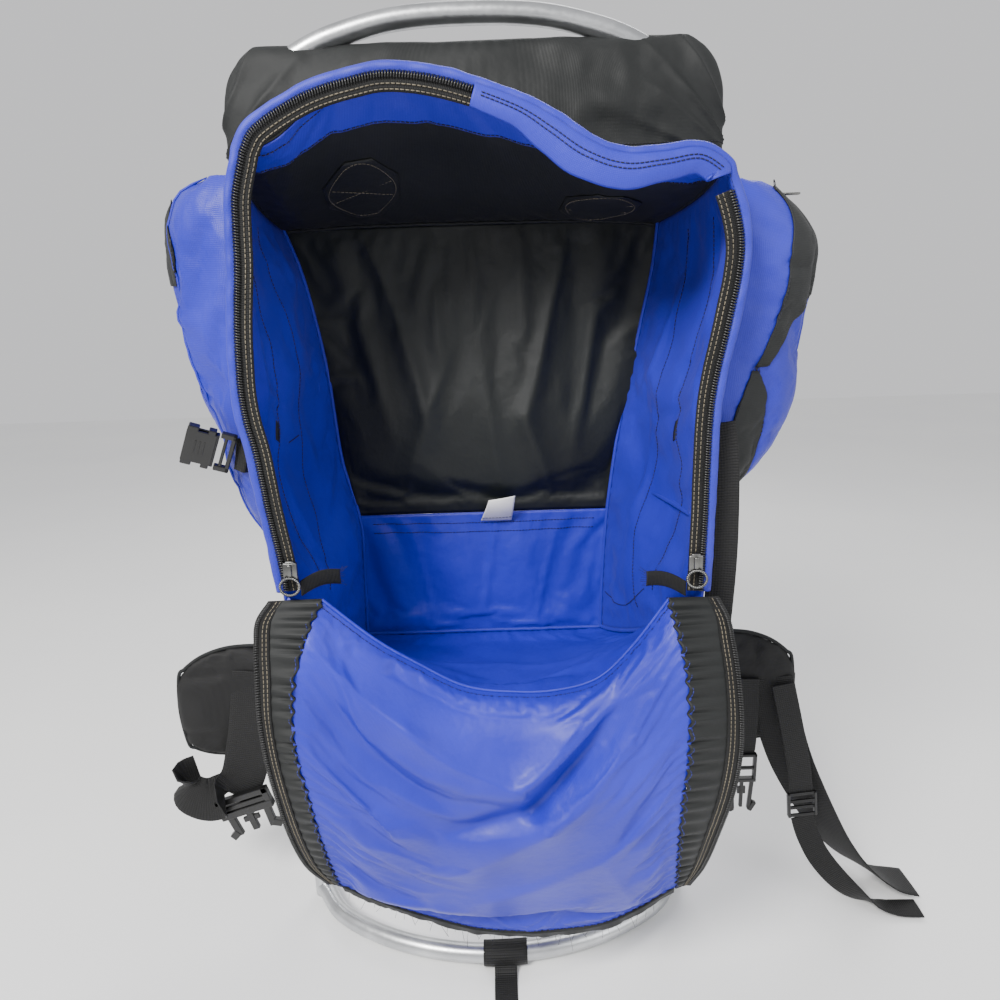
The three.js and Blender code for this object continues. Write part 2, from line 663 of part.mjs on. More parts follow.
add('mouth_hem', mouthBand(0, 1, -0.4, HEM_W, MOUTH_Y - GAP, TRIM_T * 1.4), 'blue');
add('zip_tape_left', mouthBand(0, 0.505, TAPE_W, -0.2, MOUTH_Y - GAP, TRIM_T), 'webbing');
add('zip_tape_right', mouthBand(0.7, 1, TAPE_W, -0.2, MOUTH_Y - GAP, TRIM_T), 'webbing');
add('top_edge_fold', mouthBand(0.5, 0.69, FOLD_LEAF, 2, MOUTH_Y - GAP - TRIM_T * 1.4 - GAP, TRIM_T), 'blue');

const hemLeftX = read(LEFT_WALL, 'z', MOUTH_BOTTOM_LEFT + 8, 'front');
const hemRightX = read(RIGHT_WALL, 'z', MOUTH_BOTTOM_RIGHT + 20, 'front');
const sliderLeft = makeSlider(-1, hemLeftX + 7, MOUTH_BOTTOM_LEFT + 26);
sliderLeft.translate(0, MOUTH_Y - GAP - TRIM_T - 0.4, 0);
add('slider_left', sliderLeft, 'steel', 0.4, 0.8);
const sliderRight = makeSlider(1, hemRightX - 7, MOUTH_BOTTOM_RIGHT + 44);
sliderRight.translate(0, MOUTH_Y - GAP - TRIM_T - 0.4, 0);
add('slider_right', sliderRight, 'steel', 0.4, 0.8);

function makeTapeEnd(side, x, z) {
  const rows = [];
  for (let i = 0; i <= 6; i += 1) {
    const t = i / 6;
    const cx = x - side * t * 26;
    const cy = MOUTH_Y - GAP - TRIM_T / 2 + 22 * t;
    const cz = z - 6 + 4 * Math.sin(t * 3);
    rows.push([vec(cx, cy, cz - TAPE_W / 2), vec(cx, cy, cz + TAPE_W / 2)]);
  }
  return wall(rows, TRIM_T);
}

add('tape_end_left', makeTapeEnd(-1, hemLeftX + TAPE_W + 0.6, MOUTH_BOTTOM_LEFT + 16), 'webbing');
add('tape_end_right', makeTapeEnd(1, hemRightX - TAPE_W - 0.8, MOUTH_BOTTOM_RIGHT + 28), 'webbing');

function makePatch(centre, half) {
  const rows = [];
  const outline = [0.35, 0.75, 1, 1, 0.75, 0.35];
  for (let i = 0; i < outline.length; i += 1) {
    const row = [];
    for (let j = 0; j <= 4; j += 1) {
      const p = topPoint(centre + mix(-half, half, j / 4) * outline[i], mix(0.18, 0.62, i / 5));
      row.push(p.add(vec(0, 0, -1)));
    }
    rows.push(row);
  }
  return wall(rows, 1.2, vec(0, 0, -1));
}

add('patch_left', makePatch(0.25, 0.085), 'black');
add('patch_right', makePatch(0.79, 0.085), 'black');

function makeLabel() {
  const rows = [];
  for (let i = 0; i <= 4; i += 1) {
    const t = i / 4;
    const y = BACK_Y - 1.4 - 13 * Math.sin(t * 1.6);
    const z = BACK_SPLIT - 8 + 25 * t;
    rows.push([vec(-4 + 9 * t, y, z), vec(27 + 4 * t, y, z + 5 * t)]);
  }
  return wall(rows, 1, vec(0, -1, 0));
}
add('care_label', makeLabel(), 'label');

add('front_flap', makeFlap(), 'blue');
add('flap_gusset_left', flapEdgeStrip(FLAP_LEFT, 'ruffle', 'tape', 0, 3, RUFFLE_DEPTH, -1, 33), 'black');
add('flap_gusset_right', flapEdgeStrip(FLAP_RIGHT, 'ruffle', 'tape', 0, 3, RUFFLE_DEPTH, 1, 33), 'black');
add('flap_zip_left', flapEdgeStrip(FLAP_LEFT, 'tape', 'edge', 3, 5, 0, -1, 16), 'webbing');
add('flap_zip_right', flapEdgeStrip(FLAP_RIGHT, 'tape', 'edge', 3, 5, 0, 1, 16), 'webbing');
add('flap_hem', makeFlapHem(), 'black');

add('pocket_left', makePocket(LEFT_POCKET, LEFT_WALL, -1, leftHead), 'blue');
add('pocket_right', makePocket(RIGHT_POCKET, RIGHT_WALL, 1, rightHead), 'blue');

function pocketPatch(table, wallTable, side, zs, shares, lift) {
  const pointAt = (z, a) => pocketOutside(table, wallTable, side, z, a, lift);
  return wall(pocketRows(pointAt, zs.from, zs.to, shares.from, shares.to, 5, side), PANEL_T);
}

add('pocket_left_panel', pocketPatch(
  LEFT_POCKET, LEFT_WALL, -1, { from: 700, to: 745 }, { from: 0.3, to: 0.62 }, PANEL_LIFT,
), 'black');
// The upper panel bends round the pocket's tightest curve, so it lies a little further off
add('pocket_right_panel_upper', pocketPatch(
  RIGHT_POCKET, RIGHT_WALL, 1, { from: 640, to: 738 }, { from: 0.12, to: 0.4 }, PANEL_LIFT + CORNER_LIFT,
), 'black');
add('pocket_right_panel_lower', pocketPatch(
  RIGHT_POCKET, RIGHT_WALL, 1, { from: 512, to: 600 }, { from: 0.1, to: 0.3 }, PANEL_LIFT,
), 'black');

function makePocketPull() {
  const seat = pocketOutside(RIGHT_POCKET, RIGHT_WALL, 1, 744, 0.45, 0.4);
  const body = new THREE.BoxGeometry(34, 5, 3);
  body.translate(seat.x + 9.9, seat.y, seat.z + 1.6);
  return body;
}
add('pocket_pull', makePocketPull(), 'steel', 0.4, 0.8);

// Compression straps

const strapZ = 558;
const strapStart = wallX(LEFT_WALL, strapZ + 12, 0.95) - CLOTH - 1;
const overPocket = [0.02, 0.05, 0.08, 0.11].map((a) => (
  pocketOutside(LEFT_POCKET, LEFT_WALL, -1, strapZ + 40 * a, a, 2.6)
));
const buckleAlong = vec(-0.86, -0.28, 0.34).normalize();
const buckleFacing = vec(-0.3, -1, 0).normalize();
const buckleAcross = buckleAlong.clone().cross(buckleFacing).normalize();
const strapTurn = buckleAcross.clone().multiplyScalar(buckleAcross.z < 0 ? 1 : -1);
add('compression_strap_left', strap(
  [vec(strapStart, -191, strapZ), vec(strapStart - 2, -184, strapZ), ...overPocket],
  WEB_NARROW, (t) => vec(0, 0, -1).lerp(strapTurn, t), 14,
), 'webbing');

function makeBuckle(w, h, t, slotW, slotH) {
  const shape = new THREE.Shape();
  shape.moveTo(-w / 2, -h / 2);
  shape.lineTo(w / 2, -h / 2);
  shape.lineTo(w / 2, h * 0.2);
  shape.lineTo(w * 0.36, h / 2);
  shape.lineTo(-w * 0.36, h / 2);
  shape.lineTo(-w / 2, h * 0.2);
  shape.closePath();
  const slot = new THREE.Path();
  slot.moveTo(-slotW / 2, -h * 0.34);
  slot.lineTo(-slotW / 2, -h * 0.34 + slotH);
  slot.lineTo(slotW / 2, -h * 0.34 + slotH);
  slot.lineTo(slotW / 2, -h * 0.34);
  slot.closePath();
  shape.holes.push(slot);
  const body = new THREE.ExtrudeGeometry(shape, { depth: t, bevelEnabled: false });
  body.translate(0, 0, -t / 2);
  return body;
}

// Sets a buckle with its slotted end at a strap's end: along the strap, facing the given way
function seatBuckle(geometry, height, end, along, facing) {
  const y = along.clone().normalize();
  const x = y.clone().cross(facing).normalize();
  const z = x.clone().cross(y).normalize();
  const place = new THREE.Matrix4().makeBasis(x, y, z);
  place.setPosition(end.clone().addScaledVector(y, height / 2 + GAP));
  geometry.applyMatrix4(place);
  return geometry;
}

add('compression_buckle_left', seatBuckle(
  makeBuckle(32, 36, 8, 26, 5), 36,
  overPocket[3].clone().addScaledVector(buckleFacing, 2.2), buckleAlong, buckleFacing,
), 'plastic', 0.4);

const hangX = wallX(RIGHT_WALL, 572, 0.91) + CLOTH + 0.6;
add('compression_strap_right', strap(
  [vec(hangX + 11, -180, 575), vec(hangX + 15, -182, 540), vec(hangX + 17, -182, 480),
    vec(hangX + 16, -181, 430), vec(hangX + 14, -179, 396), vec(hangX + 12, -172, 385)],
  WEB_NARROW * 0.9, () => vec(1, -0.2, 0), 14,
), 'webbing');

// Hip belt

const BELT_T = 6;
const BELT_SEAT = TUBE_R + GAP + BELT_T + GAP;
const BELT_TOP = 300;
const BELT_LOW = 200;

function makeBeltBack() {
  const rows = [];
  for (let i = 0; i <= 12; i += 1) {
    const t = i / 12;
    const x = mix(-RAIL_X, RAIL_X, t);
    const y = TUBE_R + GAP + 10 * Math.sin(Math.PI * t) ** 0.7;
    rows.push([vec(x, y, BELT_LOW + 6), vec(x, y, BELT_TOP - 6)]);
  }
  return wall(rows, BELT_T, vec(0, 1, 0));
}
add('belt_back', makeBeltBack(), 'black');

function makeHipPad(side, reach) {
  const start = RAIL_X - 12;
  const half = PAD_T / 2;
  const stations = [
    { t: 0, w: 36, d: 0.3, y: BELT_SEAT + 2 + half * 0.3 },
    { t: 0.04, w: 46, d: 0.6, y: BELT_SEAT + 1.5 + half * 0.66 },
    { t: 0.15, w: 55, d: 0.95, y: BELT_SEAT + 8 }, { t: 0.35, w: 65, d: 1, y: BELT_SEAT + 4 },
    { t: 0.6, w: 69, d: 1, y: BELT_SEAT - 1 }, { t: 0.78, w: 64, d: 1, y: BELT_SEAT - 6 },
    { t: 0.9, w: 54, d: 0.88, y: BELT_SEAT - 11 }, { t: 0.97, w: 42, d: 0.6, y: BELT_SEAT - 14 },
    { t: 1, w: 30, d: 0.25, y: BELT_SEAT - 15 },
  ].map((s) => ({
    p: vec(side * mix(start, reach, s.t), s.y, 250 - 8 * s.t),
    w: s.w,
    t: half * s.d,
  }));
  return pad(stations, vec(0, 0, 1), vec(0, 1, 0), 16);
}
add('hip_pad_left', makeHipPad(-1, 346), 'black');
add('hip_pad_right', makeHipPad(1, 334), 'black');

const padFront = BELT_SEAT - PAD_T / 2;
const leftWeb = [
  vec(-258, padFront + 1.9, 284), vec(-263, padFront - 2, 250), vec(-271, padFront - 10, 200),
  vec(-284, padFront - 16, 158), vec(-316, padFront - 18, 140), vec(-342, padFront - 14, 146),
  vec(-348, padFront - 6, 156), vec(-334, padFront - 1, 160),
];
const turn = (t) => Math.max(0, (t - 0.55) / 0.45);
add('belt_webbing_left', strap(
  leftWeb, WEB_WIDE * 0.96, (t) => vec(mix(1, 0.1, turn(t)), 0.1, mix(0.15, 1, turn(t))), 20,
), 'webbing');
add('belt_buckle_left', seatBuckle(
  makeBuckle(62, 52, 13, 50, 6), 52, vec(-284, padFront - 19, 146.6), vec(0.32, 0, -1), vec(0, -1, 0),
), 'plastic', 0.4);

add('belt_webbing_right', strap(
  [vec(304, padFront - 7.7, 262), vec(314, padFront - 12, 215), vec(330, padFront - 14, 165),
    vec(354, padFront - 18, 114), vec(382, padFront - 20, 66), vec(412, padFront - 22, 32),
    vec(444, padFront - 24, 12), vec(474, padFront - 26, 5)],
  WEB_WIDE * 0.96, (t) => vec(mix(0.9, 0.35, t), mix(-0.12, -1, t), mix(0.35, 0.02, t)), 20,
), 'webbing');

add('side_webbing_right', strap(
  [
    vec(280, padFront - 8, 262), vec(279, padFront - 14, 225),
    vec(277, padFront - 18, 190), vec(276, padFront - 18, 177.4),
  ],
  WEB_NARROW, () => vec(1, 0, 0), 10,
), 'webbing');
add('belt_buckle_right', seatBuckle(
  makeBuckle(30, 74, 10, 22, 6), 74, vec(276, padFront - 18, 177), vec(0, 0, -1), vec(0, -1, 0),
), 'plastic', 0.4);

add('adjuster_webbing_right', strap(
  [
    vec(316, padFront - 15.2, 258), vec(325, padFront - 26, 210),
    vec(334, padFront - 31, 165), vec(338, padFront - 32, 136),
  ],
  WEB_NARROW, () => vec(1, 0, 0.094), 10,
), 'webbing');
const ladderEnd = vec(341.1, padFront - 32, 104.6);
add('ladder_lock', seatBuckle(
  makeBuckle(32, 30, 6, 26, 5), 30, vec(338, padFront - 32, 135.6), vec(3, 0, -32),
  vec(0, -1, 0),
), 'plastic', 0.4);
add('shoulder_webbing_tail', strap(
  [ladderEnd, vec(348, padFront - 34, 82), vec(362, padFront - 40, 54), vec(386, padFront - 48, 26),
    vec(410, padFront - 54, 9), vec(436, padFront - 60, 3.6), vec(466, padFront - 62, 3)],
  WEB_NARROW, (t) => vec(mix(1, 0.4, t), mix(0, -1, t * t), mix(0.094, 0.2, t) * (1 - t)), 18,
), 'webbing');

// Shoulder straps on the wearer's side

function makeShoulderPad(side) {
  const path = smoothPath([
    vec(side * 62, 38, 770), vec(side * 70, 62, 745), vec(side * 82, 76, 690), vec(side * 96, 78, 620),
    vec(side * 112, 70, 550), vec(side * 130, 56, 480),
  ], 10);
  const rings = path.map((p, i) => {
    const t = i / (path.length - 1);
    const before = path[Math.max(i - 1, 0)];
    const after = path[Math.min(i + 1, path.length - 1)];
    const along = after.clone().sub(before).normalize();
    const across = vec(1, 0, 0).addScaledVector(along, -along.x).normalize();
    const through = along.clone().cross(across).normalize();
    const taper = Math.min(1, 0.45 + 6 * Math.min(t, 1 - t));
    const ring = [];
    for (let k = 0; k < 10; k += 1) {
      const a = (k / 10) * Math.PI * 2;
      const w = Math.sign(Math.cos(a)) * Math.abs(Math.cos(a)) ** 0.6 * (STRAP_PAD_W / 2) * taper;
      const h = Math.sign(Math.sin(a)) * Math.abs(Math.sin(a)) ** 0.6 * (STRAP_PAD_T / 2) * taper;
      ring.push(p.clone().addScaledVector(across, w).addScaledVector(through, h));
    }
    return ring;
  });
  return loft(rings);
}
add('shoulder_pad_left', makeShoulderPad(-1), 'black');
add('shoulder_pad_right', makeShoulderPad(1), 'black');

function makeShoulderWebbing(side) {
  return strap(
    [vec(side * 130.4, 56, 476), vec(side * 142, 48, 400), vec(side * 152, 42, 320), vec(side * 162, 34, 200),
      vec(side * (RAIL_X - 10), TUBE_R + 8, 130), vec(side * (RAIL_X - 6), TUBE_R + 0.6, 96)],
    WEB_NARROW, () => vec(-1, 0, 0), 14,
  );
}
add('shoulder_webbing_left', makeShoulderWebbing(-1), 'webbing');
add('shoulder_webbing_right', makeShoulderWebbing(1), 'webbing');

function makeShoulderAnchor(side) {
  const back = SLEEVE[1].d + 0.6;
  return strap(
    [vec(side * 61.6, back + 9, 772.6), vec(side * 60, back + 1, 794), vec(side * 60, back, 815)],
    WEB_NARROW, () => vec(1, 0, 0), 5,
  );
}
add('shoulder_anchor_left', makeShoulderAnchor(-1), 'webbing');
add('shoulder_anchor_right', makeShoulderAnchor(1), 'webbing');

// Webbing at the shelf hoop

function makeShelfLoop() {
  const cy = -SHELF_Y;
  const cz = TUBE_R + FOOT_Z + SHELF_LIFT;
  const r = TUBE_R + 1.3;
  const rows = [];
  for (let i = 0; i <= 14; i += 1) {
    const a = mix(1.15, 1.15 + Math.PI * 1.9, i / 14);
    const z = cz + r * Math.sin(a);
    rows.push([-1, 0, 1].map((side) => {
      const x = 7 + side * WEB_WIDE * 0.45;
      return vec(x, cy * (1 - 0.05 * (x / (SHELF[5].x * RAIL_X)) ** 2) + r * Math.cos(a), z);
    }));
  }
  return wall(rows, WEB_T * 0.8);
}
add('shelf_webbing', makeShelfLoop(), 'webbing');
const shelfFront = -SHELF_Y - TUBE_R;
add('shelf_strap', strap(
  [
    vec(7, shelfFront - 2.7, 9), vec(7, shelfFront - 9, 3.4), vec(7, shelfFront - 30, 1.4),
    vec(7.5, shelfFront - 60, 1.2), vec(8, shelfFront - 90, 1.2),
  ],
  WEB_NARROW * 0.92, () => vec(1, 0, 0), 12, 1.2,
), 'webbing');

export default group;
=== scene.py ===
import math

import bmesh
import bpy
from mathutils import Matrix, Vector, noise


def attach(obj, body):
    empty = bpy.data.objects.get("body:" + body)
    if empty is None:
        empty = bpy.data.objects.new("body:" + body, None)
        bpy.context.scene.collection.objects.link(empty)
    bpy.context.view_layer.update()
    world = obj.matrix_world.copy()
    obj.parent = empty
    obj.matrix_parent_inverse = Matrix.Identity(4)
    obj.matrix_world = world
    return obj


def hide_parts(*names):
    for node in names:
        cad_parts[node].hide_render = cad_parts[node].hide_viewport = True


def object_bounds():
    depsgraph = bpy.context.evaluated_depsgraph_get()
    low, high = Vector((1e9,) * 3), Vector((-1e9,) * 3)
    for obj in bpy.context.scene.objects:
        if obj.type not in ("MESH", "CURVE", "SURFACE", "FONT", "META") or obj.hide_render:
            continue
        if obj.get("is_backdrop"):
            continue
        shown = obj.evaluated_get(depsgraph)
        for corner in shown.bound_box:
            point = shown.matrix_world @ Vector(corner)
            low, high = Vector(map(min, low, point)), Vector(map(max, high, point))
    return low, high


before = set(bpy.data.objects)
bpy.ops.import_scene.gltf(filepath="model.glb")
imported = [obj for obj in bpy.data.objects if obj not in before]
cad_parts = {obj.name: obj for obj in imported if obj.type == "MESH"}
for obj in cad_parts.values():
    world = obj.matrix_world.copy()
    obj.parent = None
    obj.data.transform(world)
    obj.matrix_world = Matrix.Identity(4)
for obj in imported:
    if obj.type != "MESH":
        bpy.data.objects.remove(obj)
cad_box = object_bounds()

# %% [markdown]
# An external frame backpack, opened.
# The pack is a soft bag on a bent aluminium frame. Its front panel is unzipped and hangs down inside
# out, so we look into the bag. The solids from the frame file give every size and place, and this
# lesson dresses each of them in cloth, webbing, thread and metal.
# Lengths are in millimetres here, because that is how a pack is cut, and become metres in the mesh.

MM = 0.001
X, Y, Z = Vector((1, 0, 0)), Vector((0, 1, 0)), Vector((0, 0, 1))
print("box of the solids in metres:", [[round(c, 3) for c in corner] for corner in cad_box])

# %% [markdown]
# The camera stands close in front of the pack, a little below its top, and looks down into it.
# It is turned a touch, so the pack leans to the left in the picture.

# %% Camera
CAMERA_PLACE = (16, -739, 670)
LOOKS_DOWN = math.radians(15)
LEANS = math.radians(1.8)

camera_data = bpy.data.cameras.new("camera")
camera_data.lens = 27
camera_data.sensor_width = 36
camera_data.clip_start = 0.01
camera = bpy.data.objects.new("camera", camera_data)
bpy.context.scene.collection.objects.link(camera)
tilt = Matrix.Rotation(math.pi / 2 - LOOKS_DOWN, 4, "X") @ Matrix.Rotation(-LEANS, 4, "Z")
camera.matrix_world = Matrix.Translation(Vector(CAMERA_PLACE) * MM) @ tilt
bpy.context.scene.camera = camera
print("camera at", CAMERA_PLACE, "mm")

# %% [markdown]
# A bag is cut from panels whose width changes with height. A short table holds each panel's
# sections, and a smooth curve through its rows gives the sections between, as a tailor's curve does.

# %% Tables of sections
def mix(a, b, t):
    return a + (b - a) * t


def clamp(value, low=0.0, high=1.0):
    return max(low, min(high, value))


class Table:
    """Rows of sections; the first column is the key, and the others are read smoothly along it."""

    def __init__(self, names, rows):
        self.names = names.split()
        self.rows = sorted(rows)

    def at(self, key, name):
        column = self.names.index(name)
        rows = self.rows
        i = 0
        while i < len(rows) - 2 and rows[i + 1][0] < key:
            i += 1
        a, b = rows[i], rows[i + 1]
        span = b[0] - a[0]
        t = clamp((key - a[0]) / span)
        before, after = rows[max(i - 1, 0)], rows[min(i + 2, len(rows) - 1)]
        slope_a = (b[column] - before[column]) / (b[0] - before[0]) * span
        slope_b = (after[column] - a[column]) / (after[0] - a[0]) * span
        h = t * t * (3 - 2 * t)
        return (
            mix(a[column], b[column], h)
            + slope_a * t * (1 - t) ** 2
            - slope_b * t * t * (1 - t)
        )


def along(points, count):
    """Evenly spaced points on a smooth curve through the given ones."""
    points = [Vector(p) for p in points]
    fine = []
    for i in range(len(points) - 1):
        p0, p1 = points[max(i - 1, 0)], points[i]
        p2, p3 = points[i + 1], points[min(i + 2, len(points) - 1)]
        for k in range(12):
            t = k / 12
            a = 2 * p1 + (p2 - p0) * t
            b = (2 * p0 - 5 * p1 + 4 * p2 - p3) * t * t
            c = (3 * p1 - p0 - 3 * p2 + p3) * t**3
            fine.append((a + b + c) / 2)
    fine.append(points[-1])
    reach = [0.0]
    for a, b in zip(fine, fine[1:]):
        reach.append(reach[-1] + (b - a).length)
    spaced = []
    i = 0
    for k in range(count):
        want = reach[-1] * k / (count - 1)
        while i < len(reach) - 2 and reach[i + 1] < want:
            i += 1
        t = (want - reach[i]) / max(reach[i + 1] - reach[i], 1e-9)
        spaced.append(fine[i].lerp(fine[i + 1], clamp(t)))
    return spaced


# %% [markdown]
# Every panel starts as a flat grid, which is how cloth comes, and each of its points is then carried
# to its place by a shape function of the share across (u) and the share down (v). The grid keeps a UV
# map in metres of cloth, so a weave has the same scale on every panel. A Solidify modifier gives the
# cloth its thickness.

# %% Panels of cloth
CLOTH = 2.0
GAP = 0.4


def new_object(name, mesh):
    piece = bpy.data.objects.new(name, mesh)
    bpy.context.scene.collection.objects.link(piece)
    return piece


def to_object(name, bm, smooth=True):
    mesh = bpy.data.meshes.new(name)
    bm.to_mesh(mesh)
    bm.free()
    for polygon in mesh.polygons:
        polygon.use_smooth = smooth
    return new_object(name, mesh)


def panel(name, shape, columns, rows, cloth_size, flip=False):
    """A grid carried to shape(u, v), in millimetres; cloth_size is its flat width and length."""
    bm = bmesh.new()
    uv = bm.loops.layers.uv.new("UVMap")
    bmesh.ops.create_grid(bm, x_segments=columns, y_segments=rows, size=0.5)
    for face in bm.faces:
        for loop in face.loops:
            flat = loop.vert.co
            loop[uv].uv = ((flat.x + 0.5) * cloth_size[0] * MM, (flat.y + 0.5) * cloth_size[1] * MM)
    for vert in bm.verts:
        vert.co = shape(vert.co.x + 0.5, vert.co.y + 0.5) * MM
    if flip:
        bmesh.ops.reverse_faces(bm, faces=bm.faces)
    return to_object(name, bm)


def thicken(piece, thickness=CLOTH, offset=1.0):
    solid = piece.modifiers.new("thickness", "SOLIDIFY")
    solid.thickness = thickness * MM
    solid.offset = offset
    return piece


def normal_at(shape, u, v, step=0.01):
    du = shape(min(u + step, 1), v) - shape(max(u - step, 0), v)
    dv = shape(u, min(v + step, 1)) - shape(u, max(v - step, 0))
    return du.cross(dv).normalized()


def growing(shape, way):
    """The offset with which Solidify grows a panel along the given way."""
    return 1.0 if normal_at(shape, 0.5, 0.5).dot(way) > 0 else -1.0


def dress(piece, material, nodes=()):
    piece.data.materials.clear()
    piece.data.materials.append(material)
    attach(piece, "root")
    if nodes:
        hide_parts(*nodes)
    return piece


# %% [markdown]
# Folds have a place and a direction, so they are listed as ridges: each runs from one point of the
# panel to another, in shares, with a width and a height. Fine wrinkles are noise that is stretched
# along the cloth.

# %% Folds and wrinkles
def ridge(folds, u, v):
    """Height in millimetres of all folds at a point of the panel."""
    height = 0.0
    for u0, v0, u1, v1, width, tall in folds:
        a, b = Vector((u0, v0)), Vector((u1, v1))
        line = b - a
        t = clamp((Vector((u, v)) - a).dot(line) / line.length_squared)
        away = (Vector((u, v)) - a - line * t).length / width
        profile = math.exp(-(away ** (1.35 if tall > 0 else 2.0)))
        height += tall * profile * (0.35 + 0.65 * math.sin(math.pi * mix(0.12, 0.88, t)))
    return height


def wrinkle(u, v, across, down, seed):
    return noise.noise(Vector((u * across, v * down, seed)))


# %% [markdown]
# A real panel is always a little larger than the space that it spans, and the spare cloth has to go
# somewhere. A short cloth simulation finds where: the edges are pinned, the weave grows by a few
# per cent, and the middle buckles into wrinkles. The move is capped, so the panel keeps its form.

# %% Letting cloth settle
def settle(piece, columns, rows, slack=0.03, frames=11, cap=7.0, hold=0.02, border=0.05):
    """Pins the border of a grid and lets the rest buckle by itself."""
    mesh = piece.data
    pins = piece.vertex_groups.new(name="pins")
    wide = columns + 1
    for vert in mesh.vertices:
        u, v = (vert.index % wide) / columns, (vert.index // wide) / rows
        edge = min(u, 1 - u, v, 1 - v) / border
        pins.add([vert.index], mix(1.0, hold, clamp(edge)), "REPLACE")
    cloth = piece.modifiers.new("cloth", "CLOTH")
    settings = cloth.settings
    settings.vertex_group_mass = "pins"
    settings.pin_stiffness = 1.0
    settings.shrink_min = -slack
    settings.quality = 4
    settings.mass = 0.12
    settings.tension_stiffness = 20
    settings.compression_stiffness = 20
    settings.shear_stiffness = 8
    settings.bending_stiffness = 0.08
    settings.effector_weights.gravity = 0.15
    cloth.collision_settings.use_collision = False
    scene = bpy.context.scene
    for step in range(1, frames + 1):
        scene.frame_set(step)
    settled = piece.evaluated_get(bpy.context.evaluated_depsgraph_get())
    moved = [v.co.copy() for v in settled.data.vertices]
    farthest = 0.0
    for vert, co in zip(mesh.vertices, moved):
        move = co - vert.co
        if move.length > cap * MM:
            move *= cap * MM / move.length
        farthest = max(farthest, move.length)
        vert.co += move
    piece.modifiers.remove(cloth)
    piece.vertex_groups.remove(pins)
    scene.frame_set(1)
    print(piece.name, "settled by up to", round(farthest / MM, 1), "mm")
    return piece


# %% The settled surface as a shape again
def shape_of(piece, columns, rows):
    """The panel's own surface as shape(u, v) in millimetres, so that seams follow its wrinkles."""
    points = [vert.co / MM for vert in piece.data.vertices]
    wide = columns + 1

    def shape(u, v):
        a, b = clamp(u) * columns, clamp(v) * rows
        i, j = min(int(a), columns - 1), min(int(b), rows - 1)
        low = points[j * wide + i].lerp(points[j * wide + i + 1], a - i)
        high = points[(j + 1) * wide + i].lerp(points[(j + 1) * wide + i + 1], a - i)
        return low.lerp(high, b - j)

    return shape


# %% [markdown]
# ## Materials
# All finishes are worked out by nodes. Cloth has a plain weave from two crossed waves on its own UV
# map, slow patches of tone, and a bump for the yarns. The webbing has ribs across its length, and
# the tube has fine grain and smudges on the metal.

# %% Building blocks for materials
def new_material(name):
    material = bpy.data.materials.new(name)
    material.use_nodes = True
    tree = material.node_tree
    return material, tree, tree.nodes["Principled BSDF"]


def node(tree, kind, inputs=None, **settings):
    made = tree.nodes.new(kind)
    for key, value in settings.items():
        setattr(made, key, value)
    for key, value in (inputs or {}).items():
        if isinstance(value, bpy.types.NodeSocket):
            tree.links.new(value, made.inputs[key])
        else:
            made.inputs[key].default_value = value
    return made


def scaled(tree, coordinates, scale):
    mapping = node(tree, "ShaderNodeMapping", {"Vector": coordinates})
    mapping.inputs["Scale"].default_value = scale
    return mapping.outputs["Vector"]


def wave(tree, vector, direction):
    return node(
        tree, "ShaderNodeTexWave", {"Vector": vector, "Scale": 1.0},
        wave_type="BANDS", bands_direction=direction, wave_profile="SIN",
    ).outputs["Fac"]


def speckle(tree, vector, scale, detail=3.0, roughness=0.5):
    return node(
        tree, "ShaderNodeTexNoise",
        {"Vector": vector, "Scale": scale, "Detail": detail, "Roughness": roughness},
    ).outputs["Fac"]


def shade(tree, factor, colours):
    """A colour ramp; colours are (position, linear colour)."""
    ramp = node(tree, "ShaderNodeValToRGB", {"Fac": factor})
    stops = ramp.color_ramp.elements
    while len(stops) < len(colours):
        stops.new(0.5)
    for stop, (place, colour) in zip(stops, colours):
        stop.position = place
        stop.color = (*colour, 1)
    return ramp.outputs["Color"]


def arithmetic(tree, operation, a, b):
    return node(tree, "ShaderNodeMath", {0: a, 1: b}, operation=operation).outputs[0]


def blend(tree, first, second):
    """The sum of two (value, share) pairs."""
    (a, share_a), (b, share_b) = first, second
    part_a = arithmetic(tree, "MULTIPLY", a, share_a)
    return arithmetic(tree, "ADD", part_a, arithmetic(tree, "MULTIPLY", b, share_b))


def bump(tree, height, strength, distance, under=None):
    made = node(tree, "ShaderNodeBump", {"Height": height, "Strength": strength, "Distance": distance})
    if under is not None:
        tree.links.new(under, made.inputs["Normal"])
    return made.outputs["Normal"]


# %% Woven cloth
WAVE_LENGTH = 0.314159


def yarns(tree, vector, pitch):
    """Height of a plain weave whose yarns lie pitch metres apart."""
    scale = WAVE_LENGTH / pitch
    fine = scaled(tree, vector, (scale, scale, scale))
    return arithmetic(tree, "MULTIPLY", wave(tree, fine, "X"), wave(tree, fine, "Y"))


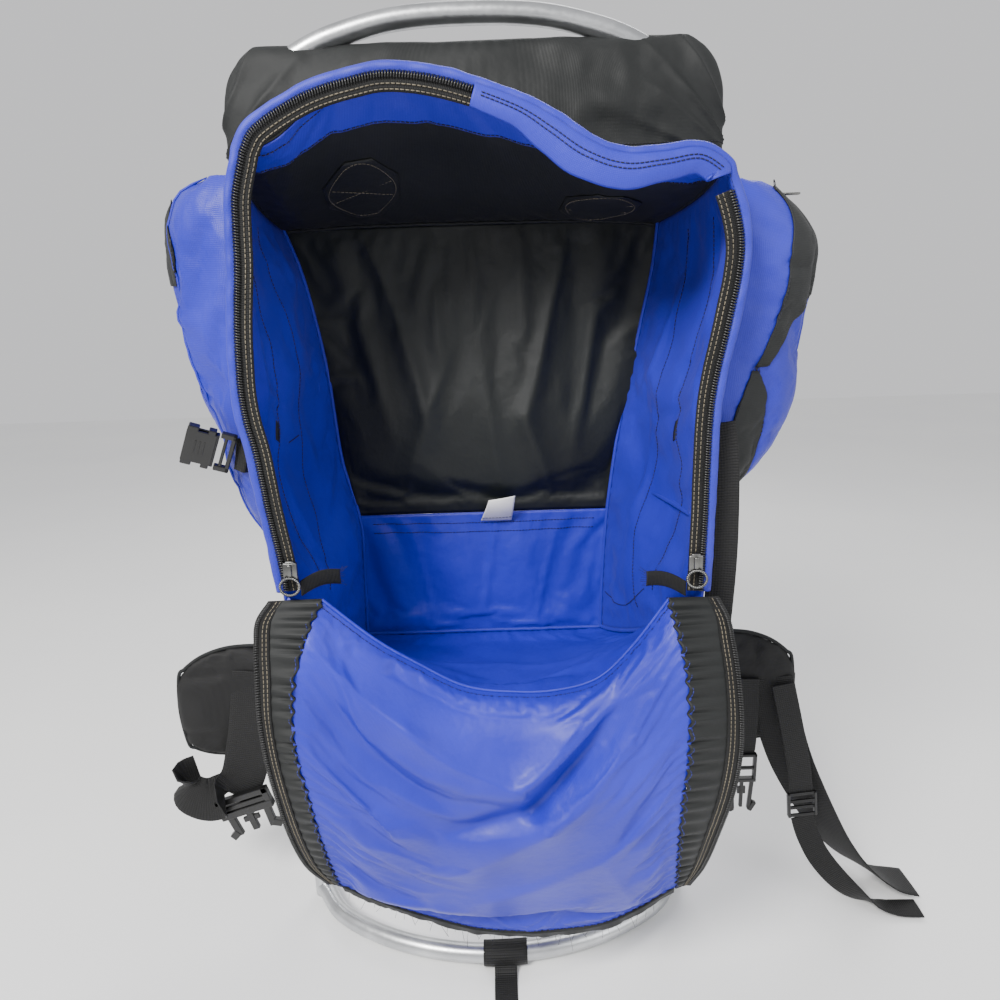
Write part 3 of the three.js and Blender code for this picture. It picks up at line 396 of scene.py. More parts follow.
def cloth_material(name, light, dark, roughness, pitch=0.0011, crinkle=0.25, coat=0.0, sheen=0.0, by_uv=True):
    material, tree, shader = new_material(name)
    place = node(tree, "ShaderNodeTexCoord")
    flat = place.outputs["UV" if by_uv else "Object"]
    solid = place.outputs["Object"]
    weave = yarns(tree, flat, pitch)
    patches = speckle(tree, solid, 9.0, 4.0)
    fibres = speckle(tree, solid, 900.0, 2.0)
    tone = blend(tree, (patches, 0.75), (weave, 0.22))
    tone = arithmetic(tree, "ADD", tone, arithmetic(tree, "MULTIPLY", fibres, 0.16))
    tree.links.new(shade(tree, tone, [(0.3, dark), (0.8, light)]), shader.inputs["Base Color"])
    rough = arithmetic(tree, "ADD", arithmetic(tree, "MULTIPLY", patches, 0.16), roughness - 0.08)
    tree.links.new(rough, shader.inputs["Roughness"])
    creases = bump(tree, speckle(tree, solid, 34.0, 3.0, 0.62), crinkle, 0.004)
    tree.links.new(bump(tree, weave, 0.35, 0.0003, creases), shader.inputs["Normal"])
    shader.inputs["Coat Weight"].default_value = coat
    shader.inputs["Coat Roughness"].default_value = 0.28
    shader.inputs["Sheen Weight"].default_value = sheen
    shader.inputs["Sheen Roughness"].default_value = 0.5
    shader.inputs["Specular IOR Level"].default_value = 0.34
    return material


BLUE_NYLON = cloth_material("blue nylon", (0.030, 0.034, 0.480), (0.010, 0.012, 0.290), 0.46, sheen=0.03)
BLUE_COATED = cloth_material(
    "blue coated nylon", (0.030, 0.034, 0.520), (0.012, 0.014, 0.330), 0.38,
    pitch=0.0009, crinkle=0.35, coat=0.06,
)
BLACK_NYLON = cloth_material("black nylon", (0.012, 0.013, 0.013), (0.003, 0.004, 0.004), 0.6, sheen=0.02)
BLACK_COATED = cloth_material(
    "black coated nylon", (0.010, 0.013, 0.012), (0.003, 0.004, 0.004), 0.42,
    pitch=0.0009, crinkle=0.25, coat=0.04,
)
BLACK_PADDED = cloth_material(
    "black nylon on foam", (0.010, 0.010, 0.010), (0.003, 0.003, 0.003), 0.68,
    pitch=0.0014, sheen=0.04, by_uv=False,
)
print("cloth materials:", len(bpy.data.materials))

# %% [markdown]
# Webbing is woven with thick cross ribs and a plain edge, so its pattern must follow the strap:
# it reads the strap's own UV map, where u runs across and v along it. The zip's tape has finer ribs.

# %% Webbing and tape
def webbing_material(name, light, dark, rib, roughness):
    material, tree, shader = new_material(name)
    place = node(tree, "ShaderNodeTexCoord")
    scale = WAVE_LENGTH / rib
    ribs = wave(tree, scaled(tree, place.outputs["UV"], (scale * 0.6, scale, scale)), "Y")
    cords = wave(tree, scaled(tree, place.outputs["UV"], (scale, scale, scale)), "X")
    height = blend(tree, (ribs, 0.7), (cords, 0.3))
    fuzz = speckle(tree, place.outputs["Object"], 420.0, 3.0)
    tone = blend(tree, (height, 0.5), (fuzz, 0.5))
    tree.links.new(shade(tree, tone, [(0.25, dark), (0.8, light)]), shader.inputs["Base Color"])
    tree.links.new(bump(tree, height, 0.7, 0.0005), shader.inputs["Normal"])
    shader.inputs["Roughness"].default_value = roughness
    shader.inputs["Sheen Weight"].default_value = 0.04
    shader.inputs["Specular IOR Level"].default_value = 0.3
    return material


WEBBING = webbing_material("polypropylene webbing", (0.010, 0.010, 0.010), (0.002, 0.002, 0.002), 0.0022, 0.6)
ZIP_TAPE = webbing_material("zip tape", (0.008, 0.008, 0.008), (0.002, 0.002, 0.002), 0.0012, 0.72)


# %% Metal, plastic, thread and label
def plain_material(name, light, dark, roughness, metal=0.0, grain=600.0, depth=0.0002, spread=0.1):
    material, tree, shader = new_material(name)
    place = node(tree, "ShaderNodeTexCoord").outputs["Object"]
    patches = speckle(tree, place, 30.0, 4.0)
    fine = speckle(tree, place, grain, 2.0)
    tree.links.new(shade(tree, patches, [(0.35, dark), (0.65, light)]), shader.inputs["Base Color"])
    rough = arithmetic(tree, "ADD", arithmetic(tree, "MULTIPLY", fine, spread), roughness - spread / 2)
    tree.links.new(rough, shader.inputs["Roughness"])
    tree.links.new(bump(tree, fine, 0.25, depth), shader.inputs["Normal"])
    shader.inputs["Metallic"].default_value = metal
    return material


ALUMINIUM = plain_material(
    "satin aluminium", (0.62, 0.63, 0.64), (0.48, 0.49, 0.50), 0.34,
    metal=1.0, grain=260.0, depth=0.0001, spread=0.22,
)
STEEL = plain_material("zip metal", (0.20, 0.20, 0.19), (0.09, 0.09, 0.09), 0.36, metal=1.0)
PLASTIC = plain_material("moulded acetal", (0.010, 0.010, 0.010), (0.005, 0.005, 0.005), 0.36, grain=900.0)
COIL = plain_material("zip coil", (0.020, 0.020, 0.020), (0.010, 0.010, 0.010), 0.34)
TAN_THREAD = plain_material("tan thread", (0.17, 0.145, 0.10), (0.10, 0.085, 0.06), 0.7, grain=2000.0)
DARK_THREAD = plain_material("dark thread", (0.014, 0.014, 0.020), (0.006, 0.006, 0.010), 0.7, grain=2000.0)
BLUE_THREAD = plain_material("blue thread", (0.020, 0.028, 0.22), (0.010, 0.014, 0.12), 0.7, grain=2000.0)
LABEL = plain_material("satin label", (0.82, 0.81, 0.78), (0.68, 0.67, 0.64), 0.55, grain=1500.0)
print("all materials:", len(bpy.data.materials))

# %% [markdown]
# Stitches are real pieces of thread here, because their shadow is what the eye reads. Each is a
# short five-sided bar, and a row of them follows a line on a panel at an even pitch.

# %% Stitch rows
def add_bar(bm, start, end, radius, sides=5):
    """A short round bar between two points in millimetres."""
    line = end - start
    turn = Z.rotation_difference(line.normalized()).to_matrix().to_4x4()
    place = Matrix.Translation((start + end) / 2 * MM) @ turn
    bmesh.ops.create_cone(
        bm, cap_ends=True, segments=sides, radius1=radius * MM, radius2=radius * MM,
        depth=line.length * MM, matrix=place,
    )


def sew(name, rows, material, pitch=3.2, thread=0.34):
    """rows are lists of points in millimetres that already lie on the cloth."""
    bm = bmesh.new()
    count = 0
    for row in rows:
        length = sum((b - a).length for a, b in zip(row, row[1:]))
        spaced = along(row, max(3, int(length / pitch) * 4 + 1))
        for i in range(0, len(spaced) - 3, 4):
            add_bar(bm, spaced[i], spaced[i + 3], thread)
            count += 1
    piece = to_object(name, bm)
    print(name, "has", count, "stitches")
    return dress(piece, material)


def on_panel(shape, path, lift, samples=24):
    """Points on a panel along a path of (u, v) shares, lifted off along the panel's normal."""
    spaced = along([Vector((u, v, 0)) for u, v in path], samples)
    return [shape(p.x, p.y) + normal_at(shape, clamp(p.x), clamp(p.y)) * lift for p in spaced]

# %% [markdown]
# ## The frame
# One tube is bent into two rails and a top bow, a second one makes the shelf hoop that lies on the
# floor, and three straight bars hold the rails apart. A round curve with a bevel depth is the
# plainest way to a bent tube; it is made a mesh so that its place is in its points.

# %% Bent tubes
TUBE_R = 9.5
CROSS_R = 8.0
FRAME_W, FRAME_H = 430, 920
SHELF_DEPTH, SHELF_LIFT, FOOT_Z = 116, 2.9, 0.3
CROSS_HEIGHTS = (120, 345, 610)
RAIL_X = FRAME_W / 2 - TUBE_R
SHELF_Y = SHELF_DEPTH - TUBE_R
BOW = (
    (1.0, 170), (0.998, 128), (0.968, 97), (0.91, 71), (0.81, 48), (0.66, 31), (0.51, 21), (0.34, 13.4),
    (0.17, 10.2), (0, 9.5),
)
SHELF = ((1.0, 0), (0.955, 0.13), (0.86, 0.4), (0.71, 0.62), (0.5, 0.82), (0.26, 0.95), (0, 1))


def mirrored(half):
    return half + [Vector((-p.x, p.y, p.z)) for p in reversed(half[:-1])]


def tube(name, paths, sides=28):
    """Round tubes; paths are (points in millimetres, radius)."""
    curve = bpy.data.curves.new(name, "CURVE")
    curve.dimensions = "3D"
    curve.bevel_depth = MM
    curve.bevel_resolution = sides // 4
    curve.use_fill_caps = True
    for points, radius in paths:
        spline = curve.splines.new("POLY")
        spline.points.add(len(points) - 1)
        for knot, p in zip(spline.points, points):
            knot.co = (*(p * MM), 1)
            knot.radius = radius
    made = bpy.data.objects.new(name, curve)
    mesh = bpy.data.meshes.new_from_object(made)
    bpy.data.objects.remove(made)
    for polygon in mesh.polygons:
        polygon.use_smooth = True
    return new_object(name, mesh)


bow = mirrored([Vector((-x * RAIL_X, 0, FRAME_H - drop)) for x, drop in BOW])
rails = [Vector((-RAIL_X, 0, FOOT_Z)), Vector((-RAIL_X, 0, FRAME_H * 0.4))] + bow
rails += [Vector((RAIL_X, 0, FRAME_H * 0.4)), Vector((RAIL_X, 0, FOOT_Z))]
hoop = mirrored([Vector((-x * RAIL_X, -y * SHELF_Y, TUBE_R + FOOT_Z + SHELF_LIFT * y)) for x, y in SHELF])
bars = [([Vector((-RAIL_X, 0, z)), Vector((RAIL_X, 0, z))], CROSS_R) for z in CROSS_HEIGHTS]
frame_tubes = tube("frame_metal", [(along(rails, 260), TUBE_R), (along(hoop, 120), TUBE_R)] + bars)
dress(frame_tubes, ALUMINIUM, ["frame_tubes"])


# %% Weld beads where the bars meet the rails
def weld_ring(bm, centre, radius, bead):
    """A slightly uneven bead around a bar that runs along X."""
    for k in range(26):
        a = math.tau * k / 26
        lump = 1 + 0.16 * noise.noise(Vector((centre.x, centre.z, k)))
        place = centre + Vector((0, math.cos(a), math.sin(a))) * radius
        bmesh.ops.create_icosphere(
            bm, subdivisions=1, radius=bead * lump * MM, matrix=Matrix.Translation(place * MM),
        )


bm = bmesh.new()
for height in CROSS_HEIGHTS:
    for side in (-1, 1):
        weld_ring(bm, Vector((side * (RAIL_X - TUBE_R - 0.6), 0, height)), CROSS_R + 0.4, 1.5)
dress(to_object("weld_beads", bm), ALUMINIUM)

# %% [markdown]
# ## The bag's walls
# The bag is a box of cloth. Its black back lies on the frame, its blue side walls reach forward to
# the mouth, and its ceiling is black. Every wall is a panel that bulges a little outwards.

# %% Sections of the bag
BACK_Y = -(TUBE_R + CLOTH + GAP)
MOUTH_Y = -198
BACK_TOP, BACK_SPLIT, BACK_BOTTOM = 738, 463, 335
MOUTH_BOTTOM = {-1: 450, 1: 428}
MOUTH_TOP = {-1: 772, 1: 752}
WALL_BULGE = 7
WALLS = {
    -1: Table("z back front", [
        (330, -128, -150), (400, -126, -150), (450, -125, -151), (480, -130, -153), (520, -139, -158),
        (570, -143, -163), (600, -145, -168), (650, -152, -166), (700, -162, -160), (745, -177, -156),
        (772, -182, -147),
    ]),
    1: Table("z back front", [
        (330, 118, 168), (400, 120, 169), (460, 124, 170), (510, 130, 171), (550, 136, 171),
        (600, 146, 173), (650, 156, 182), (690, 164, 188), (715, 167, 186), (752, 170, 173),
    ]),
}
MOUTH_EDGE = Table("x z", [
    (-147, 772), (-137, 785), (-105, 802), (-72, 811), (-46, 814), (-8, 808), (44, 790), (83, 767),
    (106, 759), (130, 759), (156, 761), (173, 752),
])


def depth_at(s):
    return mix(BACK_Y - GAP, MOUTH_Y, s)


def foot_at(side, s):
    return mix(BACK_BOTTOM, MOUTH_BOTTOM[side], s**1.3)


def head_at(side, s):
    return mix(BACK_TOP - (3 if side > 0 else 0), MOUTH_TOP[side], s)


def wall_x(side, z, s):
    """Where a side wall is at a height and a share s of the depth, from back to mouth."""
    x = mix(WALLS[side].at(z, "back"), WALLS[side].at(z, "front"), s)
    return x + side * WALL_BULGE * math.sin(math.pi * s) * (0.6 + 0.4 * math.sin(z / 37))


# %% Side walls
WALL_FOLDS = {
    -1: [
        (0.30, 0.02, 0.62, 0.34, 0.05, 3.2), (0.55, 0.10, 0.72, 0.52, 0.045, -2.8),
        (0.20, 0.40, 0.48, 0.72, 0.05, 2.6), (0.72, 0.50, 0.86, 0.92, 0.05, 2.4),
        (0.40, 0.70, 0.66, 0.98, 0.06, -2.6), (0.12, 0.08, 0.30, 0.30, 0.05, -2.4),
    ],
    1: [
        (0.34, 0.05, 0.30, 0.45, 0.05, 3.0), (0.62, 0.08, 0.55, 0.44, 0.045, -2.6),
        (0.24, 0.55, 0.40, 0.95, 0.05, 2.8), (0.58, 0.52, 0.72, 0.90, 0.05, -2.8),
        (0.80, 0.20, 0.84, 0.62, 0.05, 2.4),
    ],
}


def side_wall(side):
    def shape(u, v):
        z = mix(foot_at(side, u) + GAP, head_at(side, u) - GAP, v)
        edge = math.sin(math.pi * clamp(u)) ** 0.5 * math.sin(math.pi * clamp(v)) ** 0.5
        dent = ridge(WALL_FOLDS[side], u, v) + 2.6 * wrinkle(u, v, 5, 11, 3.0 + side)
        return Vector((wall_x(side, z, u) - side * dent * edge, depth_at(u), z))
    return shape


WALL_GRID = (48, 76)
wall_surface = {}
for side, word in ((-1, "left"), (1, "right")):
    wall_piece = panel(f"inner_wall_{word}", side_wall(side), *WALL_GRID, (190, 380), flip=side > 0)
    settle(wall_piece, *WALL_GRID, slack=0.02, cap=5)
    wall_surface[side] = shape_of(wall_piece, *WALL_GRID)
    thicken(wall_piece, CLOTH, 1.0)
    dress(wall_piece, BLUE_NYLON, [f"side_wall_{word}"])

# %% [markdown]
# Two seams run down each side wall where the pocket behind it is sewn on, and a short dense row of
# stitches, a bar tack, holds the compression strap.

# %% Seams and bar tacks on the side walls
WALL_SEAMS = {
    -1: [
        [(0.70, 0.94), (0.60, 0.60), (0.66, 0.30), (0.60, 0.12)],
        [(0.42, 0.95), (0.36, 0.62), (0.42, 0.30), (0.56, 0.10)],
        [(0.40, 0.50), (0.52, 0.47)],
    ],
    1: [
        [(0.68, 0.94), (0.62, 0.62), (0.66, 0.34), (0.58, 0.10)],
        [(0.36, 0.95), (0.40, 0.60), (0.36, 0.30), (0.44, 0.06)],
        [(0.04, 0.10), (0.30, 0.07), (0.52, 0.11)],
    ],
}
BAR_TACKS = {-1: (0.64, 0.46), 1: (0.62, 0.47)}

for side, word in ((-1, "left"), (1, "right")):
    shape = wall_surface[side]
    inwards = 0.25 * side
    rows = [on_panel(shape, seam, inwards, 60) for seam in WALL_SEAMS[side]]
    sew(f"wall_seams_{word}", rows, DARK_THREAD, thread=0.42)
    u, v = BAR_TACKS[side]
    tacks = []
    for k in range(13):
        step = k * 0.0035
        tacks.append(on_panel(shape, [(u - 0.018, v + step), (u + 0.018, v + step + 0.004)], inwards, 5))
    sew(f"bar_tack_{word}", tacks, DARK_THREAD, pitch=7, thread=0.55)


# %% Ceiling with two stitched patches
def top_z(x, s):
    return mix(BACK_TOP + 2, MOUTH_EDGE.at(x, "z"), s) - 4 * math.sin(math.pi * s)


def ceiling(u, v):
    left = wall_x(-1, head_at(-1, v), v) + GAP
    right = wall_x(1, head_at(1, v), v) - GAP
    x = mix(left, right, u)
    edge = min(1.0, min(u, 1 - u) * 4.7)
    edge = edge * edge * (3 - 2 * edge)
    z = mix(mix(head_at(-1, v), head_at(1, v), u), top_z(x, v), edge)
    sag = 2.6 * wrinkle(u, v, 7, 3, 8.0) * math.sin(math.pi * clamp(v))
    y = mix(BACK_Y + 2.2, MOUTH_Y, v)
    return Vector((x + (u - 0.5) * 4, y, z + GAP + sag * edge - 3.0 * (1 - v)))


CEILING_GRID = (84, 42)
ceiling_piece = panel("ceiling", ceiling, *CEILING_GRID, (340, 190))
settle(ceiling_piece, *CEILING_GRID, slack=0.015, cap=4)
ceiling_surface = shape_of(ceiling_piece, *CEILING_GRID)
thicken(ceiling_piece, CLOTH, -1.0)
dress(ceiling_piece, BLACK_NYLON, ["top_wall"])


def facing(u, v):
    """A blue strip that faces the ceiling's front edge, just under it."""
    below = 0.5 + 0.5 * math.sin(u * 40) * (1 - v)
    return ceiling_surface(mix(0.015, 0.985, u), mix(0.80, 0.995, v)) - Z * below


UNDER_CLOTH = 1.2
facing_piece = panel("ceiling_facing", facing, 120, 14, (330, 38))
thicken(facing_piece, 0.8, 1.0)
dress(facing_piece, BLUE_NYLON)
rows = [[facing(k / 90, v) - Z * UNDER_CLOTH for k in range(91)] for v in (0.06, 0.72)]
sew("facing_stitches", rows, DARK_THREAD, thread=0.4)

PATCH_OUTLINE = (
    (0.35, 0.0), (1, 0.35), (1, 0.65), (0.35, 1.0), (-0.35, 1.0), (-1, 0.65), (-1, 0.35),
    (-0.35, 0.0),
)


def patch_point(centre, across, down):
    """A point of a hexagonal patch, hung just under the ceiling."""
    u = centre + 0.085 * across
    v = mix(0.18, 0.62, down)
    return ceiling_surface(u, v) - Z * 0.3


def patch(centre):
    def shape(u, v):
        half = min(1.0, 0.35 + 0.65 * min(v, 1 - v) / 0.3)
        return patch_point(centre, mix(-1, 1, u) * half, v)
    return shape


for centre, word in ((0.25, "left"), (0.79, "right")):
    patch_piece = panel(f"ceiling_patch_{word}", patch(centre), 20, 20, (56, 80))
    thicken(patch_piece, 1.0, 1.0)
    dress(patch_piece, BLACK_NYLON, [f"patch_{word}"])
    ring = [patch_point(centre, a * 0.84, mix(0.5, d, 0.86)) - Z * UNDER_CLOTH for a, d in PATCH_OUTLINE]
    inner = [patch_point(centre, a * 0.8, mix(0.5, d, 0.8)) - Z * UNDER_CLOTH for a, d in PATCH_OUTLINE]
    crosses = [[inner[1], inner[5]], [inner[2], inner[6]]]
    sew(f"patch_stitches_{word}", [ring + ring[:1], *crosses], TAN_THREAD, thread=0.3)

# %% [markdown]
# The black back panel sags between the rails. It has a soft fold that runs from the top right to
# the lower left, and it is drawn into pleats above the hem where the blue panel begins.

# %% Back panels
BACK_SAG = 9
BACK_FOLDS = [
    (0.20, 0.95, 0.34, 0.30, 0.060, 5.5), (0.42, 0.62, 0.22, 0.08, 0.050, 5.0),
    (0.62, 0.98, 0.48, 0.60, 0.070, 4.0), (0.74, 0.90, 0.66, 0.34, 0.055, 6.5),
    (0.66, 0.36, 0.78, 0.05, 0.045, 6.0), (0.52, 0.50, 0.58, 0.10, 0.045, 3.6),
    (0.30, 0.20, 0.46, 0.04, 0.040, 3.4), (0.12, 0.70, 0.20, 0.30, 0.045, 3.4),
    (0.86, 0.70, 0.84, 0.20, 0.040, 3.6),
]


def back_shape(z0, z1, folds, sag):
    def shape(u, v):
        z = mix(z0, z1, v)
        inner = clamp((u - 0.1) / 0.8)
        x = mix(WALLS[-1].at(z, "back"), WALLS[1].at(z, "back"), inner)
        if u < 0.1:
            x = mix(-RAIL_X + 2, x, u / 0.1)
        if u > 0.9:
            x = mix(x, RAIL_X - 2, (u - 0.9) / 0.1)
        edge = math.sin(math.pi * clamp(inner)) ** 0.5 * math.sin(math.pi * clamp(v)) ** 0.5
        lower = math.exp(-(((z - 520) / 90) ** 2))
        push = sag * lower * 0.6 + ridge(folds, inner, v) + 1.4 * wrinkle(u, v, 5, 4, 1.0)
        return Vector((x, BACK_Y - edge * max(0.0, push), z))
    return shape


BACK_GRID = (92, 80)
upper_back = back_shape(BACK_SPLIT + GAP, BACK_TOP, BACK_FOLDS, BACK_SAG)
back_piece = panel("back_lining", upper_back, *BACK_GRID, (400, 275))
settle(back_piece, *BACK_GRID, slack=0.012, cap=4)
thicken(back_piece, CLOTH, -1.0)
dress(back_piece, BLACK_COATED, ["back_panel"])

LOWER_GRID = (84, 44)
LOWER_FOLDS = [
    (0.2, 0.9, 0.3, 0.1, 0.06, 2.6), (0.55, 0.95, 0.5, 0.2, 0.05, 2.2),
    (0.8, 0.9, 0.72, 0.1, 0.06, 2.8),
]
lower_back = back_shape(BACK_BOTTOM - 4, BACK_SPLIT, LOWER_FOLDS, 1)
lower_piece = panel("back_lower", lower_back, *LOWER_GRID, (400, 132))
settle(lower_piece, *LOWER_GRID, slack=0.015, cap=4)
lower_surface = shape_of(lower_piece, *LOWER_GRID)
thicken(lower_piece, CLOTH, -1.0)
dress(lower_piece, BLUE_COATED, ["back_panel_lower"])

hem_rows = [on_panel(lower_surface, [(0.14, v), (0.5, v - 0.01), (0.86, v)], 0.25, 90) for v in (0.93, 0.86)]
sew("back_hem_stitches", hem_rows, DARK_THREAD, thread=0.4)


# %% Floor of the bag
FLOOR_GRID = (76, 48)
FLAP_MIDDLE = Table("v y z", [
    (0, -198.8, 366), (0.08, -222, 361), (0.16, -234, 345), (0.3, -236, 308), (0.45, -227, 262),
    (0.6, -208, 212), (0.75, -187, 162), (0.9, -165, 112), (1, -155, 84),
])
FLOOR_FOLDS = [
    (0.15, 0.2, 0.35, 0.9, 0.07, 4.0), (0.6, 0.15, 0.52, 0.8, 0.08, 3.4), (0.86, 0.3, 0.74, 0.95, 0.06, 4.2),
    (0.30, 0.5, 0.75, 0.62, 0.06, 3.0),
]
FLAP_TOP = {-1: (-123.6, 450), 1: (144.6, 442)}
MIDDLE_WEIGHT = Table("u w", [
    (0, 0), (0.14, 0.4), (0.26, 0.66), (0.4, 0.92), (0.55, 1), (0.68, 0.99), (0.8, 0.86), (0.9, 0.5), (1, 0),
])


def seam_z(u):
    side = mix(MOUTH_BOTTOM[-1], MOUTH_BOTTOM[1], u)
    return mix(side, FLAP_MIDDLE.at(0, "z"), math.sin(math.pi * clamp(u)) ** 0.8)


def hinge_z(x):
    """Height of the seam that joins the floor to the front panel, at a place across the bag."""
    share = clamp((x - FLAP_TOP[-1][0]) / (FLAP_TOP[1][0] - FLAP_TOP[-1][0]))
    side = mix(FLAP_TOP[-1][1], FLAP_TOP[1][1], share)
    return mix(side, FLAP_MIDDLE.at(0, "z"), MIDDLE_WEIGHT.at(share, "w"))


def floor_shape(u, v):
    left = wall_x(-1, foot_at(-1, v), v) - 1.8
    right = wall_x(1, foot_at(1, v), v) + 1.8
    x = mix(left, right, u)
    z = mix(mix(BACK_BOTTOM - 2, seam_z(u), v**1.3), hinge_z(x), clamp((v - 0.55) / 0.45) ** 1.5)
    edge = math.sin(math.pi * clamp(u)) ** 0.5 * math.sin(math.pi * clamp(v)) ** 0.5
    lift = (ridge(FLOOR_FOLDS, u, v) + 2.5 * wrinkle(u, v, 6, 4, 12.0)) * edge
    return Vector((x, mix(BACK_Y + 1.5, MOUTH_Y - 1.2, v), z - GAP + lift))


floor_piece = panel("inner_floor", floor_shape, *FLOOR_GRID, (320, 200))
settle(floor_piece, *FLOOR_GRID, slack=0.02, cap=5)
thicken(floor_piece, CLOTH, 1.0)
dress(floor_piece, BLUE_COATED, ["bag_floor"])

# %% [markdown]
# Inside, every seam of the bag is turned over and bound in a narrow roll of the same cloth. The
# rolls follow the edges of the settled walls.

# %% Bound seams inside the bag
rolls = []
for side in (-1, 1):
    surface = wall_surface[side]
    rolls.append(([surface(k / 40, 0.0) - X * side * 0.8 for k in range(41)], 2.0))
    rolls.append(([surface(0.0, k / 60) - X * side * 0.8 - Y * 1.0 for k in range(61)], 1.8))
rolls.append(([lower_surface(mix(0.08, 0.92, k / 60), 0.03) - Y * 1.2 for k in range(61)], 2.0))
dress(tube("bound_seams_blue", rolls, 12), BLUE_NYLON)
dark_rolls = [([ceiling_surface(mix(0.02, 0.98, k / 60), 0.02) - Z * 0.8 for k in range(61)], 1.8)]
for side in (-1, 1):
    dark_rolls.append(([wall_surface[side](k / 40, 1.0) - X * side * 0.8 for k in range(41)], 1.8))
dress(tube("bound_seams_black", dark_rolls, 12), BLACK_NYLON)

# %% [markdown]
# ## The sleeve over the top of the frame
# A tube of black nylon is pulled over the bow and gathered at its corners. The panel goes once
# around it, so the grid's two sides meet and are merged. The gathers are sharp little pleats that
# fan out from the two corners and die away towards the middle.

# %% Sleeve
SLEEVE = Table("z w d", [
    (782, 224, 25), (805, 223, 26), (830, 223, 25), (850, 221, 22), (866, 215, 19), (878, 206, 15),
    (886, 196, 9), (889, 190, 4),
])
SLEEVE_LOW, SLEEVE_HIGH = 782, 889
SLEEVE_CENTRE = 4


def gather(angle, count, seed):
    """Pleats with uneven spacing and height, pointed at their crests."""
    phase = angle * count + 1.7 * noise.noise(Vector((angle * 2.3, seed, 0)))
    crest = 1 - abs(math.sin(phase))
    return (crest**1.6) * (0.55 + 0.6 * noise.noise(Vector((angle * 5, seed, 4))))


def sleeve(u, v):
    a = math.tau * u
    z = mix(SLEEVE_LOW, SLEEVE_HIGH, min(1, v / 0.93) ** 0.8)
    close = clamp((v - 0.93) / 0.07)
    c, s = math.cos(a), math.sin(a)
    x = math.copysign(abs(c) ** 0.45, c) * SLEEVE.at(z, "w")
    y = math.copysign(abs(s) ** 0.8, s) * SLEEVE.at(z, "d") * (1 - close)
    corner = clamp((abs(x) - 118) / 90) ** 1.3
    front = 0.35 + 0.65 * abs(s)
    fan = math.atan2(z - 770, max(8, 250 - abs(x)))
    pleats = gather(fan, 15, 2.0 + (c > 0)) * corner * 9.0
    slow = 4.5 * noise.noise(Vector((x / 52, z / 34, 1.0 if s < 0 else 5.0)))
    fine = 1.8 * noise.noise(Vector((x / 17, z / 24, 9.0 if s < 0 else 3.0)))
    along_hem = 1.2 * math.sin(x / 9.0 + 2 * noise.noise(Vector((x / 30, 0, 7)))) * clamp((800 - z) / 18)
    push = (pleats + slow + fine + along_hem - 1.2) * front * (1 - close)
    out = Vector((c * 0.5, s, 0)).normalized()
    droop = 4.0 * noise.noise(Vector((x / 60, 3.0, s))) * (1 - v)
    return Vector((x + SLEEVE_CENTRE, y, z + droop)) + out * push


SLEEVE_GRID = (300, 64)
sleeve_piece = panel("top_sleeve_cloth", sleeve, *SLEEVE_GRID, (950, 130))
bm = bmesh.new()
bm.from_mesh(sleeve_piece.data)
bmesh.ops.remove_doubles(bm, verts=bm.verts, dist=0.0002)
bm.to_mesh(sleeve_piece.data)
bm.free()
thicken(sleeve_piece, 1.4, -1.0)
dress(sleeve_piece, BLACK_NYLON, ["top_sleeve"])
hem_line = []
for k in range(121):
    outwards = math.copysign(0.5, math.sin(math.tau * k / 120))
    hem_line.append(sleeve(k / 120, 0.09) + Y * outwards)
sew("sleeve_hem_stitches", [hem_line], DARK_THREAD, thread=0.4)

# %% [markdown]
# ## The mouth
# A zip runs round the mouth in a horseshoe. From the outside in there are a rolled blue hem, the
# coil of teeth, and a black tape with two rows of tan stitches. All of them are strips along one
# path: t runs along it and w across it, positive outwards.

# %% Path of the mouth
HEM_W, TAPE_W, TRIM_T, FOLD_LEAF = 8, 12, 1.6, 20

mouth_points = []
for i in range(15):
    z = mix(MOUTH_BOTTOM[-1] + 8, MOUTH_TOP[-1] - 8, i / 14)
    mouth_points.append(Vector((WALLS[-1].at(z, "front"), 0, z)))
mouth_points += [Vector((x, 0, z)) for x, z in MOUTH_EDGE.rows]
for i in range(15):
    z = mix(MOUTH_TOP[1] - 8, MOUTH_BOTTOM[1] + 20, i / 14)
    mouth_points.append(Vector((WALLS[1].at(z, "front"), 0, z)))
MOUTH = along(mouth_points, 600)
MOUTH_LENGTH = sum((b - a).length for a, b in zip(MOUTH, MOUTH[1:]))
print("the zip is", round(MOUTH_LENGTH), "mm long")


def mouth_at(t, w, y):
    """A point beside the mouth's path: share t along it, w millimetres outwards, at depth y."""
    place = clamp(t) * (len(MOUTH) - 1)
    i = min(int(place), len(MOUTH) - 2)
    a, b = MOUTH[max(i - 3, 0)], MOUTH[min(i + 4, len(MOUTH) - 1)]
    line = (b - a).normalized()
    out = Vector((-line.z, 0, line.x))
    p = MOUTH[i].lerp(MOUTH[i + 1], place - i)
    return Vector((p.x, y, p.z)) + out * w


def waviness(t, seed):
    return 1.1 * noise.noise(Vector((t * 26, seed, 0))) + 0.5 * noise.noise(Vector((t * 90, seed, 2)))


# %% Rolled hem
MOUTH_FRONT = MOUTH_Y - GAP


def rolled_hem(u, v):
    """A roll of doubled cloth, thick in the middle and tucked under at both edges."""
    w = mix(-0.4, HEM_W - 1.2, u)
    swell = 2.6 * math.sin(math.pi * clamp(u)) ** 0.6
    pucker = 0.35 * math.sin(v * MOUTH_LENGTH / 3.4) * math.sin(math.pi * clamp(u))
    return mouth_at(v, w + waviness(v, 1.0) * u, MOUTH_FRONT - 0.4 - swell - pucker)


